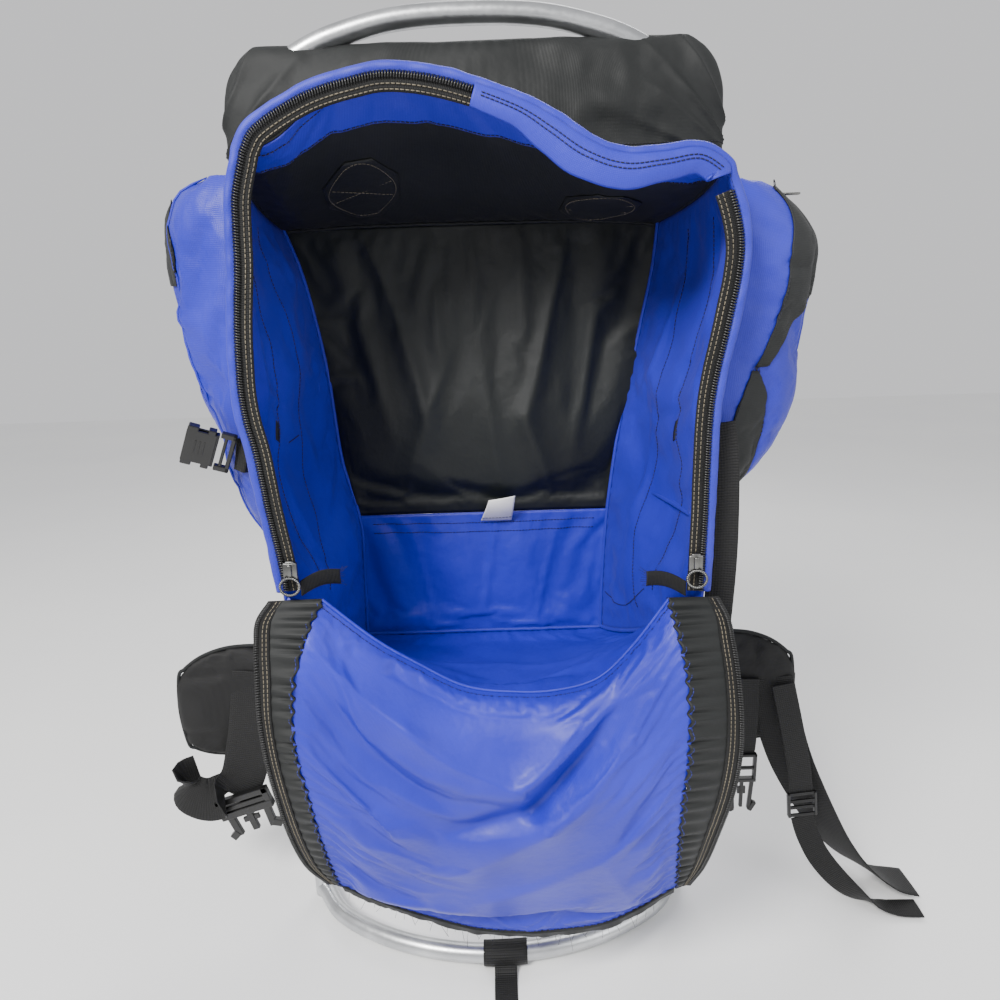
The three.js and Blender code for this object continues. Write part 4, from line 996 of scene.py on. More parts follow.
hem_piece = panel("rolled_hem", rolled_hem, 10, 620, (14, MOUTH_LENGTH))
thicken(hem_piece, 1.3, growing(rolled_hem, Y))
dress(hem_piece, BLUE_NYLON, ["mouth_hem"])
sew("hem_stitches", [[rolled_hem(0.16, k / 300) + Y * -0.2 for k in range(301)]], BLUE_THREAD, thread=0.34)


# %% Zip tape with its stitches
def zip_strip(t0, t1):
    def shape(u, v):
        t = mix(t0, t1, v)
        w = mix(-TAPE_W, -0.2, u)
        return mouth_at(t, w, MOUTH_FRONT - 0.5 - 0.7 * math.sin(math.pi * clamp(u)) + 0.4 * waviness(t, 3.0))
    return shape


ZIP_RUNS = {"left": (0.0, 0.505), "right": (0.70, 1.0)}
for word, (t0, t1) in ZIP_RUNS.items():
    strip = zip_strip(t0, t1)
    run = MOUTH_LENGTH * (t1 - t0)
    tape = panel(f"mouth_tape_{word}", strip, 8, int(run / 2.4), (TAPE_W, run))
    thicken(tape, 1.0, growing(strip, Y))
    dress(tape, ZIP_TAPE, [f"zip_tape_{word}"])
    steps = int(run / 6)
    rows = [[strip(u, k / steps) - Y * 0.3 for k in range(steps + 1)] for u in (0.14, 0.42)]
    sew(f"tape_stitches_{word}", rows, TAN_THREAD, pitch=3.4, thread=0.42)


# %% Coil of teeth
def coil(name, point_at, run, reach=1.9, pitch=1.9):
    """Teeth of a nylon coil: a small slanted bar every pitch, on a cord of thread."""
    bm = bmesh.new()
    count = int(run / pitch)
    for k in range(count):
        t = (k + 0.5) / count
        a, b = point_at(t, -reach), point_at(t + 0.25 / count, reach)
        add_bar(bm, a, b, 0.62, sides=5)
    piece = to_object(name, bm)
    print(name, "has", count, "teeth")
    return dress(piece, COIL)


for word, (t0, t1) in ZIP_RUNS.items():
    coil(
        f"mouth_teeth_{word}",
        lambda t, w, a=t0, b=t1: mouth_at(mix(a, b, t), w - 1.6, MOUTH_FRONT - 2.4),
        MOUTH_LENGTH * (t1 - t0),
    )


# %% Folded-over top edge
LEAF_FROM, LEAF_TO = 0.5, 0.69


def leaf(u, v):
    """The right half of the top edge is turned down over the zip in a soft, wavy leaf."""
    t = mix(LEAF_FROM, LEAF_TO, v)
    ends = math.sin(math.pi * clamp(mix(0.04, 0.96, v))) ** 0.35
    wave_edge = 2.6 * math.sin(v * 9.0 + 0.6) + 1.6 * noise.noise(Vector((v * 9, 2, 0)))
    w = mix(2.0, -(FOLD_LEAF * (0.45 + 0.55 * ends)) + wave_edge, u)
    lift = 3.4 * math.sin(math.pi * clamp(u)) ** 0.7 + 1.5 * u * math.sin(v * 11 + 1.0)
    return mouth_at(t, w, MOUTH_FRONT - TRIM_T * 1.4 - GAP - 0.8 - lift)


leaf_piece = panel("turned_edge", leaf, 18, 150, (24, 190))
thicken(leaf_piece, 1.4, growing(leaf, Y))
dress(leaf_piece, BLUE_NYLON, ["top_edge_fold"])
rows = [[leaf(u, mix(0.03, 0.97, k / 60)) - Y * 0.4 for k in range(61)] for u in (0.30, 0.44)]
sew("turned_edge_stitches", rows, DARK_THREAD, thread=0.42)

# %% [markdown]
# Each slider is a small die-cast body on the coil with a ring through its bridge. The tape's cut
# ends are turned into the bag below it, and they fray.

# %% Sliders
def add_box(bm, centre, size, turn=None, soften=0.0):
    """A box in millimetres with softened edges."""
    place = Matrix.Translation(Vector(centre) * MM) @ (turn.to_4x4() if turn else Matrix.Identity(4))
    made = bmesh.ops.create_cube(bm, size=1.0, matrix=place @ Matrix.Diagonal((*(Vector(size) * MM), 1)))
    if soften:
        edges = {edge for vert in made["verts"] for edge in vert.link_edges}
        bmesh.ops.bevel(
            bm, geom=list(edges), offset=soften * MM, offset_type="OFFSET", affect="EDGES",
            segments=2, profile=0.5, material=-1,
        )
    return made


def add_ring(bm, centre, radius, wire, normal, squash_by=1.0, sides=30):
    """A wire ring of short bars around a centre."""
    turn = Z.rotation_difference(normal.normalized()).to_matrix()
    spots = []
    for k in range(sides):
        a = math.tau * k / sides
        spots.append(centre + turn @ Vector((math.cos(a) * radius, math.sin(a) * radius * squash_by, 0)))
    for a, b in zip(spots, spots[1:] + spots[:1]):
        add_bar(bm, a, b, wire, sides=8)
        bmesh.ops.create_icosphere(bm, subdivisions=1, radius=wire * MM, matrix=Matrix.Translation(b * MM))


HEM_X = {
    -1: WALLS[-1].at(MOUTH_BOTTOM[-1] + 8, "front"),
    1: WALLS[1].at(MOUTH_BOTTOM[1] + 20, "front"),
}
SLIDER_Z = {-1: MOUTH_BOTTOM[-1] + 26, 1: MOUTH_BOTTOM[1] + 44}
for side, word in ((-1, "left"), (1, "right")):
    at = Vector((HEM_X[side] - side * 7, MOUTH_FRONT - TRIM_T - 3.2, SLIDER_Z[side]))
    bm = bmesh.new()
    add_box(bm, at, (11, 3.6, 13.5), soften=1.2)
    add_box(bm, at + Vector((0, -2.6, 1.0)), (3.4, 2.6, 9.5), soften=0.9)
    add_box(bm, at + Vector((0, 0, 6.6)), (7, 3.2, 2.6), soften=0.9)
    add_ring(bm, at + Vector((side, -2.4, -12.0)), 7.2, 1.1, Vector((0.15 * side, 1, 0.1)))
    dress(to_object(f"zip_slider_{word}", bm), STEEL, [f"slider_{word}"])


# %% Turned tape ends and frays
def tape_end(side, x, z):
    def shape(u, v):
        cx = x - side * v * 26
        cy = MOUTH_Y - GAP - TRIM_T / 2 + 22 * v
        cz = z - 6 + 4 * math.sin(v * 3) + 2.0 * math.sin(u * 3) * v
        return Vector((cx, cy - 1.5 * math.sin(u * math.pi) * v, cz + mix(-TAPE_W / 2, TAPE_W / 2, u)))
    return shape


def frays(name, roots, material, longest, seed, thread=0.16):
    """Loose threads: each leaves its root, bends and ends in the air. roots are (point, direction)."""
    bm = bmesh.new()
    for k, (root, way) in enumerate(roots):
        size = longest * (0.35 + 0.65 * abs(noise.noise(Vector((k * 1.37, seed, 0.5)))) * 1.6)
        bend = Vector([noise.noise(Vector((k * 2.1, seed, c * 3.7))) for c in range(3)]) * 1.5
        last = root
        for step in range(1, 6):
            t = step / 5
            spot = root + way * size * t + bend * size * t * t * 0.5
            add_bar(bm, last, spot, thread, sides=4)
            last = spot
    return dress(to_object(name, bm), material)


TAPE_END_AT = {
    -1: (HEM_X[-1] + TAPE_W + 0.6, MOUTH_BOTTOM[-1] + 16),
    1: (HEM_X[1] - TAPE_W - 0.8, MOUTH_BOTTOM[1] + 28),
}
for side, word in ((-1, "left"), (1, "right")):
    end_shape = tape_end(side, *TAPE_END_AT[side])
    end_piece = panel(f"tape_tail_{word}", end_shape, 8, 20, (TAPE_W, 34))
    thicken(end_piece, 1.2, 0.0)
    dress(end_piece, ZIP_TAPE, [f"tape_end_{word}"])
    roots = []
    for k in range(10):
        roots.append((end_shape(k / 9, 1.0), Vector((-side * 0.6, 0.5, -0.2 + k * 0.05)).normalized()))
    frays(f"tape_frays_{word}", roots, DARK_THREAD, 7, 5.0 + side)

# %% [markdown]
# ## The front panel
# The panel hangs from the front edge of the bag's floor, inside out, so its coated side faces us and
# shines. It is one sheet with broad folds that fan out from its left hinge. Both long edges are
# gathered into a black gusset, and the zip's other half runs down the gusset's outer edge.

# %% Sections of the front panel
FLAP_EDGES = {
    -1: Table("v y z ruffle tape edge", [
        (0, -198.8, 450, -124, -152, -165), (0.08, -212, 438, -131, -160, -173),
        (0.17, -222, 419, -138, -161, -174), (0.24, -230, 399, -144, -160, -173),
        (0.34, -238, 370, -146, -160, -172), (0.45, -240, 337, -145, -158, -170),
        (0.57, -236, 300, -141, -155, -167), (0.71, -224, 254, -139, -152, -164),
        (0.86, -208, 211, -137, -147, -158), (1, -195, 181, -134, -137, -144),
    ]),
    1: Table("v y z ruffle tape edge", [
        (0, -198.8, 442, 145, 172, 183), (0.08, -214, 430, 147, 177, 188), (0.17, -225, 410, 151, 179, 191),
        (0.24, -232, 390, 154, 181, 193), (0.34, -239, 360, 155, 182, 195), (0.45, -239, 326, 155, 182, 196),
        (0.57, -232, 286, 154, 180, 194), (0.71, -218, 237, 156, 175, 188), (0.86, -200, 192, 160, 172, 183),
        (1, -187, 161, 163, 167, 174),
    ]),
}
FLAP_FOLD = 4
FLAP_END = 0.985
FLAP_FOLDS = [
    (0.00, 0.14, 0.30, 0.20, 0.045, 13.0), (0.28, 0.20, 0.58, 0.30, 0.050, 16.0),
    (0.58, 0.30, 0.76, 0.08, 0.045, 11.0), (0.82, 0.15, 0.60, 0.37, 0.030, -20.0),
    (0.60, 0.36, 0.34, 0.47, 0.040, -12.0), (0.02, 0.26, 0.36, 0.36, 0.040, -9.0),
    (1.00, 0.08, 0.90, 0.15, 0.050, 7.0), (0.92, 0.15, 0.64, 0.42, 0.045, 13.0),
    (0.64, 0.42, 0.20, 0.74, 0.060, 10.0), (0.06, 0.60, 0.42, 0.40, 0.050, 7.0),
    (0.04, 0.40, 0.22, 0.52, 0.035, 6.0), (0.10, 0.88, 0.38, 0.82, 0.028, 7.0),
    (0.04, 0.76, 0.26, 0.84, 0.030, -7.0), (0.40, 0.90, 0.56, 0.97, 0.025, 6.0),
    (0.58, 0.96, 0.74, 0.80, 0.030, 6.0), (0.80, 0.62, 0.90, 0.94, 0.035, 5.0),
    (0.72, 0.62, 0.98, 0.48, 0.050, 4.0), (0.02, 0.05, 0.24, 0.08, 0.024, 6.0),
    (0.40, 0.78, 0.66, 0.66, 0.045, 4.0), (0.10, 0.16, 0.20, 0.30, 0.020, 4.0),
    (0.84, 0.30, 0.96, 0.34, 0.024, 5.0),
]


def flap(u, v):
    v = v * FLAP_END
    w = MIDDLE_WEIGHT.at(u, "w")
    left, right = FLAP_EDGES[-1], FLAP_EDGES[1]
    x = mix(left.at(v, "ruffle") + GAP, right.at(v, "ruffle") - GAP, u)
    side_y = mix(left.at(v, "y"), right.at(v, "y"), u)
    side_z = mix(left.at(v, "z"), right.at(v, "z"), u)
    y = mix(side_y, FLAP_MIDDLE.at(v, "y"), w)
    z = mix(side_z, FLAP_MIDDLE.at(v, "z"), w)
    fan = math.atan2(u * 1.1 + 0.05, v + 0.05)
    fold = math.sin(fan * 9) * math.sin(math.pi * clamp(u)) * math.sin(math.pi * min(1, v * 1.4 + 0.05))
    edge = math.sin(math.pi * clamp(u)) ** 0.4 * math.sin(math.pi * clamp(v * 0.96)) ** 0.4
    fine = ridge(FLAP_FOLDS, u, v) + 1.6 * wrinkle(u, v, 6, 5, 21.0)
    pulls = 1.1 * math.sin(v * 150 + 4 * noise.noise(Vector((v * 9, 1, u * 2)))) * (
        math.exp(-((u / 0.05) ** 2)) + math.exp(-(((1 - u) / 0.05) ** 2))
    )
    forward = 0.4 * FLAP_FOLD * max(-0.6, fold) + fine * edge + pulls * edge
    return Vector((x, y - forward, z + 0.25 * fine * edge))


FLAP_GRID = (120, 120)
flap_piece = panel("front_panel", flap, *FLAP_GRID, (300, 420))
settle(flap_piece, *FLAP_GRID, slack=0.03, frames=12, cap=7)
flap_surface = shape_of(flap_piece, *FLAP_GRID)
thicken(flap_piece, CLOTH, growing(flap, Y))
dress(flap_piece, BLUE_COATED, ["front_flap"])


# %% Seam where the panel hangs from the floor
hinge = [flap_surface(k / 80, 0.0) - Y * 0.6 + Z * 0.4 for k in range(81)]
dress(tube("hinge_seam", [(hinge, 1.5)], 12), BLUE_COATED)
sew("hinge_stitches", [[flap_surface(k / 80, 0.02) - Y * 0.35 for k in range(81)]], DARK_THREAD, thread=0.34)


# %% Gathered gussets and the zip's other half
TAPE_LAP = 2.5


def flap_strip(side, inner, outer, back_from, back_to, ripple):
    table = FLAP_EDGES[side]
    is_zip = outer == "edge"

    def shape(u, v):
        a = table.at(v, inner) + side * (GAP * 1.6 if is_zip else -2.6)
        b = table.at(v, outer) + side * (0 if is_zip else TAPE_LAP)
        seam = min(1.0, v * 7)
        pleat = math.sin(v * math.tau * 27 + 2.2 * noise.noise(Vector((v * 14, side, 1))))
        pleat *= 0.65 + 0.5 * noise.noise(Vector((v * 31, side, 5)))
        fade = (1 - u) ** 0.8 * math.sin(math.pi * clamp(v)) ** 0.3
        y = table.at(v, "y") + mix(back_from, back_to, u) * seam
        lean = 1.8 * ripple * pleat * (1 - u) * 0.4
        z = table.at(v, "z") + 0.8 * pleat * fade
        return Vector((mix(a, b, u) + side * lean, y - ripple * pleat * fade, z))
    return shape


for side, word in ((-1, "left"), (1, "right")):
    gusset = flap_strip(side, "ruffle", "tape", 0, 4.8, 2.6)
    gusset_piece = panel(f"gusset_{word}", gusset, 16, 420, (34, 330))
    thicken(gusset_piece, 1.4, growing(gusset, -Y))
    dress(gusset_piece, BLACK_NYLON, [f"flap_gusset_{word}"])
    zip_half = flap_strip(side, "tape", "edge", 3, 5, 0)
    zip_piece = panel(f"panel_tape_{word}", zip_half, 8, 140, (TAPE_W, 330))
    thicken(zip_piece, 1.0, growing(zip_half, -Y))
    dress(zip_piece, ZIP_TAPE, [f"flap_zip_{word}"])
    rows = [[zip_half(u, k / 80) - Y * 1.2 for k in range(81)] for u in (0.2, 0.45)]
    sew(f"panel_tape_stitches_{word}", rows, TAN_THREAD, pitch=3.4, thread=0.4)
    teeth_run = sum((zip_half(1, (k + 1) / 40) - zip_half(1, k / 40)).length for k in range(40))
    coil(
        f"panel_teeth_{word}",
        lambda t, w, f=zip_half, s=side: f(0.86, t) + Vector((s * w * 0.9, -1.8, 0)),
        teeth_run,
    )
    seam = [[gusset(0.1, k / 160) - Y * 1.6 for k in range(161)]]
    sew(f"gusset_seam_{word}", seam, BLUE_THREAD, thread=0.4)

# %% [markdown]
# The lower end of the panel is bound in a narrow black hem whose edge waves, and its cut threads
# hang loose.

# %% Hem and loose threads of the front panel
FLAP_HEM = 6
HEM_LAP = 3


def flap_hem(u, v):
    share = mix(0.01, 0.99, u)
    p = flap_surface(share, 1.0)
    drop = (p - flap_surface(share, 0.97)).normalized()
    start = p - drop * HEM_LAP
    long = FLAP_HEM + 1.5 * math.sin(u * 14 * 1.7) + 0.8 * noise.noise(Vector((u * 30, 2, 2)))
    wave_y = 0.9 * math.sin(u * 60 + 3 * noise.noise(Vector((u * 8, 0, 0)))) * v
    return start + drop * (long + HEM_LAP) * v + Vector((0, wave_y, 0))


hem = panel("panel_hem", flap_hem, 260, 6, (300, 8))
thicken(hem, 3.2, 0.0)
dress(hem, BLACK_NYLON, ["flap_hem"])
rows = [[flap_surface(k / 120, 0.985) - Y * 0.5 for k in range(3, 118)]]
sew("panel_hem_stitches", rows, DARK_THREAD, thread=0.4)
roots = []
for k in range(46):
    roots.append((flap_hem((k + 0.5) / 46, 1.0), Vector((0.5 * math.sin(k * 2.7), -0.2, -1)).normalized()))
frays("panel_frays", roots, DARK_THREAD, 12, 11.0)

# %% [markdown]
# ## Side pockets
# A pocket is a pouch sewn to the side wall: its cloth stands well away in the middle and meets the
# wall at every edge. Its front carries black panels, edged with piping, and the right one ends in a
# zip with a metal pull.

# %% Pockets
POCKETS = {
    -1: Table("z near far out", [
        (452, -148, -40, 10), (480, -160, -34, 28), (540, -166, -30, 46), (610, -168, -28, 56),
        (680, -168, -28, 68), (725, -166, -28, 66), (752, -160, -32, 50), (766, -150, -40, 26),
    ]),
    1: Table("z near far out", [
        (500, -156, -40, 26), (515, -162, -34, 46), (545, -166, -30, 76), (590, -168, -28, 92),
        (640, -168, -28, 88), (690, -168, -28, 85), (722, -166, -28, 74), (742, -160, -32, 54),
        (754, -150, -40, 28),
    ]),
}
POCKET_LOW, POCKET_HIGH = {-1: 452, 1: 500}, {-1: 766, 1: 754}
POCKET_SEAM = 3
POCKET_CLOSE = 0.06
POCKET_FOLDS = {
    -1: [
        (0.15, 0.92, 0.30, 0.50, 0.050, -5.0), (0.30, 0.86, 0.46, 0.40, 0.050, 4.0),
        (0.10, 0.60, 0.24, 0.15, 0.050, 3.6), (0.55, 0.80, 0.60, 0.25, 0.060, -4.0),
        (0.78, 0.80, 0.74, 0.30, 0.050, 4.0),
    ],
    1: [
        (0.10, 0.90, 0.16, 0.45, 0.045, -4.0), (0.30, 0.92, 0.34, 0.50, 0.050, 4.0),
        (0.16, 0.42, 0.26, 0.06, 0.050, 4.4), (0.52, 0.84, 0.56, 0.22, 0.060, -4.4),
        (0.78, 0.82, 0.76, 0.30, 0.050, 4.0),
    ],
}


def pocket_high(side, u):
    """Height of a pocket's top: rounded corners that end under the side wall's own edge."""
    table, high = POCKETS[side], POCKET_HIGH[side]
    y = mix(table.at(high, "near"), table.at(high, "far"), (1 - math.cos(math.pi * u)) / 2)
    rim = head_at(side, (y - BACK_Y) / (MOUTH_Y - BACK_Y)) - POCKET_SEAM
    return rim, mix(rim - POCKET_SEAM, high, math.sin(math.pi * clamp(u)) ** 0.5)


def pocket(side, lift=0.0):
    table = POCKETS[side]
    low = POCKET_LOW[side]

    def shape(u, v):
        rim, high = pocket_high(side, u)
        share = clamp((v - POCKET_CLOSE) / (1 - 2 * POCKET_CLOSE))
        closing = clamp(min(v, 1 - v) / POCKET_CLOSE)
        z = mix(low, high, share)
        if v < POCKET_CLOSE:
            z = mix(low - POCKET_SEAM, low, closing)
        elif v > 1 - POCKET_CLOSE:
            z = mix(rim, high, closing)
        y = mix(table.at(z, "near"), table.at(z, "far"), (1 - math.cos(math.pi * u)) / 2)
        s = clamp((y - BACK_Y) / (MOUTH_Y - BACK_Y))
        base = wall_x(side, z, s) + side * (CLOTH + 1.05)
        round_up = math.sin(math.pi * clamp(u)) ** 0.75 * math.sin(math.pi / 2 * closing) ** 0.6
        edge = round_up * math.sin(math.pi * clamp(v)) ** 0.5
        dent = (ridge(POCKET_FOLDS[side], u, v) + 2.2 * wrinkle(u, v, 6, 7, 30.0 + side)) * edge
        return Vector((base + side * (table.at(z, "out") * round_up + lift - dent), y, z))
    return shape


POCKET_GRID = (64, 64)
pocket_surface = {}
for side, word in ((-1, "left"), (1, "right")):
    pouch = panel(f"pouch_{word}", pocket(side), *POCKET_GRID, (240, 300), flip=side < 0)
    settle(pouch, *POCKET_GRID, slack=0.02, cap=5)
    pocket_surface[side] = shape_of(pouch, *POCKET_GRID)
    outward = normal_at(pocket(side), 0.5, 0.5).x * side * (-1 if side < 0 else 1)
    thicken(pouch, CLOTH, 1.0 if outward > 0 else -1.0)
    dress(pouch, BLUE_NYLON, [f"pocket_{word}"])


# %% Black panels, piping and seams on the pockets
def pocket_share(side, z):
    share = (z - POCKET_LOW[side]) / (POCKET_HIGH[side] - POCKET_LOW[side])
    return mix(POCKET_CLOSE, 1 - POCKET_CLOSE, share)


def outward_at(side, u, v):
    way = normal_at(pocket_surface[side], u, v, 0.02)
    return way if way.x * side > 0 or abs(way.x) < 0.05 and way.y < 0 else -way


def on_pocket(side, u, v, lift):
    u, v = clamp(u, 0.002, 0.998), clamp(v, 0.002, 0.998)
    return pocket_surface[side](u, v) + outward_at(side, u, v) * (CLOTH + lift)


def pocket_patch(side, z0, z1, columns):
    """A black panel laid on a pocket; columns holds its two edges, as shares round, for each height."""
    edges = Table("v near far", columns)

    def shape(u, v):
        ragged = 0.006 * math.sin(v * 9 + 1.3 * side)
        around = mix(edges.at(v, "near"), edges.at(v, "far") + ragged, u)
        return on_pocket(side, around, pocket_share(side, mix(z0, z1, v)), 0.5)
    return shape


PATCHES = (
    (
        "pocket_panel_left", -1,
        (690, 748, [(0, 0.30, 0.52), (0.5, 0.26, 0.62), (1, 0.34, 0.60)]),
        "pocket_left_panel",
    ),
    (
        "pocket_panel_right_upper", 1,
        (618, 744, [
            (0, 0.10, 0.125), (0.2, 0.12, 0.20), (0.45, 0.13, 0.40), (0.7, 0.14, 0.50),
            (1, 0.22, 0.44),
        ]),
        "pocket_right_panel_upper",
    ),
    (
        "pocket_panel_right_lower", 1,
        (510, 614, [(0, 0.06, 0.20), (0.3, 0.045, 0.23), (0.7, 0.06, 0.17), (1, 0.09, 0.115)]),
        "pocket_right_panel_lower",
    ),
)
for name, side, sizes, solid in PATCHES:
    patch_shape = pocket_patch(side, *sizes)
    patch_piece = panel(name, patch_shape, 24, 40, (60, 90), flip=side < 0)
    out = normal_at(patch_shape, 0.5, 0.5).dot(outward_at(side, 0.25, 0.5)) * (-1 if side < 0 else 1)
    thicken(patch_piece, 1.0, 1.0 if out > 0 else -1.0)
    dress(patch_piece, BLACK_NYLON, [solid])
    border = [patch_shape(u, v) for u, v in ((0, 0), (0, 0.5), (0, 1), (0.5, 1), (1, 1), (1, 0.5), (1, 0))]
    lifted = [p + outward_at(side, 0.25, 0.5) * 1.3 for p in border]
    sew(f"{name}_stitches", [lifted], DARK_THREAD, thread=0.35)

POCKET_SEAMS = {
    -1: [[(0.30, 0.04), (0.28, 0.5), (0.30, 0.97)], [(0.62, 0.04), (0.64, 0.5), (0.62, 0.97)]],
    1: [[(0.40, 0.04), (0.42, 0.5), (0.40, 0.97)], [(0.66, 0.04), (0.68, 0.5), (0.66, 0.97)]],
}
for side, word in ((-1, "left"), (1, "right")):
    pipes = []
    rows = []
    for seam in POCKET_SEAMS[side]:
        path = along([Vector((u, v, 0)) for u, v in seam], 60)
        pipes.append(([on_pocket(side, p.x, p.y, 0.6) for p in path], 1.1))
        rows.append([on_pocket(side, p.x + 0.025, p.y, 0.15) for p in path])
    dress(tube(f"pocket_piping_{word}", pipes, 10), BLUE_NYLON)
    sew(f"pocket_stitches_{word}", rows, BLUE_THREAD, thread=0.34)

bm = bmesh.new()
seat = on_pocket(1, 0.45, pocket_share(1, 744), 0.4)
pull = seat + Vector((9.9, 0, 1.6))
add_box(bm, pull + X * -11, (9, 7, 4.5), soften=1.2)
add_box(bm, pull + X * -6, (4, 3, 5.5), soften=0.8)
add_ring(bm, pull + X * 2, 4.2, 0.9, Z, 0.55)
add_box(bm, pull + X * 11.5, (13, 5, 1.8), soften=0.8)
dress(to_object("pocket_zip_pull", bm), STEEL, ["pocket_pull"])

# %% [markdown]
# ## Care label
# A blank satin label is caught in the hem of the black lining. It bends out and stands away from it.

# %% Label
def label(u, v):
    y = BACK_Y - 3.0 - 15 * math.sin(v * 1.6) - 1.5 * math.sin(u * 3)
    z = BACK_SPLIT - 8 + 25 * v + 4 * u * v
    return Vector((mix(-4 + 9 * v, 27 + 4 * v, u), y, z))


label_piece = panel("blank_care_label", label, 16, 16, (30, 28))
thicken(label_piece, 0.5, 0.0)
dress(label_piece, LABEL, ["care_label"])
rows = [[label(k / 10, 0.16) - Y * 0.6 for k in range(11)]]
sew("label_stitches", rows, DARK_THREAD, thread=0.3)

# %% [markdown]
# ## Webbing
# A strap is a flat band along a path. At each point the band's width lies along its own direction,
# so the strap can twist as it turns. The UV map runs in metres, across and along, for the ribs.

# %% Straps
WEB_WIDE, WEB_NARROW, WEB_T = 50, 25, 1.8


def strap(name, points, width, across, count=90, thickness=WEB_T, curl=0.35, nodes=()):
    """A band of webbing along the points; across(t) gives the direction of its width."""
    path = along(points, count)
    length = sum((b - a).length for a, b in zip(path, path[1:]))

    def shape(u, v):
        place = clamp(v) * (count - 1)
        i = min(int(place), count - 2)
        p = path[i].lerp(path[i + 1], place - i)
        way = Vector(across(v)).normalized()
        line = (path[min(i + 2, count - 1)] - path[max(i - 1, 0)]).normalized()
        side_way = (way - line * way.dot(line)).normalized()
        up = side_way.cross(line)
        bow_up = curl * (1 - (2 * u - 1) ** 2) + 0.25 * noise.noise(Vector((v * length / 30, width, 2)))
        return p + side_way * mix(-width / 2, width / 2, u) + up * bow_up

    piece = panel(name, shape, 8, count - 1, (width, length))
    thicken(piece, thickness * 0.86, 1.0)
    edge = piece.modifiers.new("soft edge", "BEVEL")
    edge.width = 0.0004
    edge.segments = 2
    edge.limit_method = "ANGLE"
    dress(piece, WEBBING, nodes)
    print(name, "is", round(length), "mm long")
    return shape


def box_stitch(name, shape, v0, v1, lift):
    """A box with a cross, sewn where a strap end is fastened."""
    rows = []
    corners = ((0.12, v0), (0.88, v0), (0.88, v1), (0.12, v1), (0.12, v0), (0.88, v1))
    for (a, b), (c, d) in zip(corners, corners[1:]):
        rows.append([shape(mix(a, c, k / 4), mix(b, d, k / 4)) + lift for k in range(5)])
    return sew(name, rows, DARK_THREAD, pitch=2.6, thread=0.4)


BELT_T = 6
PAD_T = 22
BELT_SEAT = TUBE_R + GAP + BELT_T + GAP
PAD_FRONT = BELT_SEAT - PAD_T / 2


def turning(t):
    return max(0, (t - 0.55) / 0.45)


strap(
    "hip_webbing_left",
    [
        (-258, PAD_FRONT + 1.9, 284), (-263, PAD_FRONT - 2, 250), (-271, PAD_FRONT - 10, 200),
        (-284, PAD_FRONT - 16, 158), (-316, PAD_FRONT - 18, 140), (-342, PAD_FRONT - 14, 146),
        (-348, PAD_FRONT - 6, 156), (-334, PAD_FRONT - 1, 160),
    ],
    WEB_WIDE * 0.96,
    lambda t: (mix(1, 0.1, turning(t)), 0.1, mix(0.15, 1, turning(t))),
    nodes=["belt_webbing_left"],
)
strap(
    "hip_webbing_right",
    [
        (304, PAD_FRONT - 7.7, 262), (314, PAD_FRONT - 12, 215), (330, PAD_FRONT - 14, 165),
        (354, PAD_FRONT - 18, 114), (382, PAD_FRONT - 20, 66), (412, PAD_FRONT - 22, 32),
        (444, PAD_FRONT - 24, 12), (474, PAD_FRONT - 26, 5),
    ],
    WEB_WIDE * 0.96,
    lambda t: (mix(0.9, 0.35, t), mix(-0.12, -1, t), mix(0.35, 0.02, t)),
    nodes=["belt_webbing_right"],
)
strap(
    "side_webbing",
    [
        (280, PAD_FRONT - 8, 262), (279, PAD_FRONT - 14, 225), (277, PAD_FRONT - 18, 190),
        (276, PAD_FRONT - 18, 177.4),
    ],
    WEB_NARROW, lambda t: X, nodes=["side_webbing_right"],
)
strap(
    "adjuster_webbing",
    [
        (316, PAD_FRONT - 15.2, 258), (325, PAD_FRONT - 26, 210), (334, PAD_FRONT - 31, 165),
        (338, PAD_FRONT - 32, 136),
    ],
    WEB_NARROW, lambda t: (1, 0, 0.094), nodes=["adjuster_webbing_right"],
)
strap(
    "shoulder_tail",
    [
        (341.1, PAD_FRONT - 32, 104.6), (348, PAD_FRONT - 34, 82), (362, PAD_FRONT - 40, 54),
        (386, PAD_FRONT - 48, 26), (410, PAD_FRONT - 54, 9), (436, PAD_FRONT - 60, 3.6),
        (466, PAD_FRONT - 62, 3),
    ],
    WEB_NARROW, lambda t: (mix(1, 0.4, t), mix(0, -1, t * t), mix(0.094, 0.2, t) * (1 - t)),
    nodes=["shoulder_webbing_tail"],
)

# %% [markdown]
# The left compression strap crosses the pocket to its buckle, and the right one hangs open beside
# the bag.

# %% Compression straps
STRAP_Z = 558
strap_start = wall_x(-1, STRAP_Z + 12, 0.95) - CLOTH - 1
over_pocket = [on_pocket(-1, a, pocket_share(-1, STRAP_Z + 40 * a), 2.6) for a in (0.02, 0.05, 0.08, 0.11)]
BUCKLE_ALONG = Vector((-0.86, -0.28, 0.34)).normalized()
BUCKLE_FACING = Vector((-0.3, -1, 0)).normalized()
buckle_across = BUCKLE_ALONG.cross(BUCKLE_FACING).normalized()
if buckle_across.z > 0:
    buckle_across = -buckle_across
strap(
    "compression_webbing_left",
    [(strap_start, -191, STRAP_Z), (strap_start - 2, -184, STRAP_Z), *over_pocket],
    WEB_NARROW, lambda t: (-Z).lerp(buckle_across, t), count=40, nodes=["compression_strap_left"],
)
hang_x = wall_x(1, 572, 0.91) + CLOTH + 0.6
strap(
    "compression_webbing_right",
    [
        (hang_x + 11, -180, 575), (hang_x + 15, -182, 540), (hang_x + 17, -182, 480),
        (hang_x + 16, -181, 430), (hang_x + 14, -179, 396), (hang_x + 12, -172, 385),
    ],
    WEB_NARROW * 0.9, lambda t: (1, -0.2, 0), nodes=["compression_strap_right"],
)

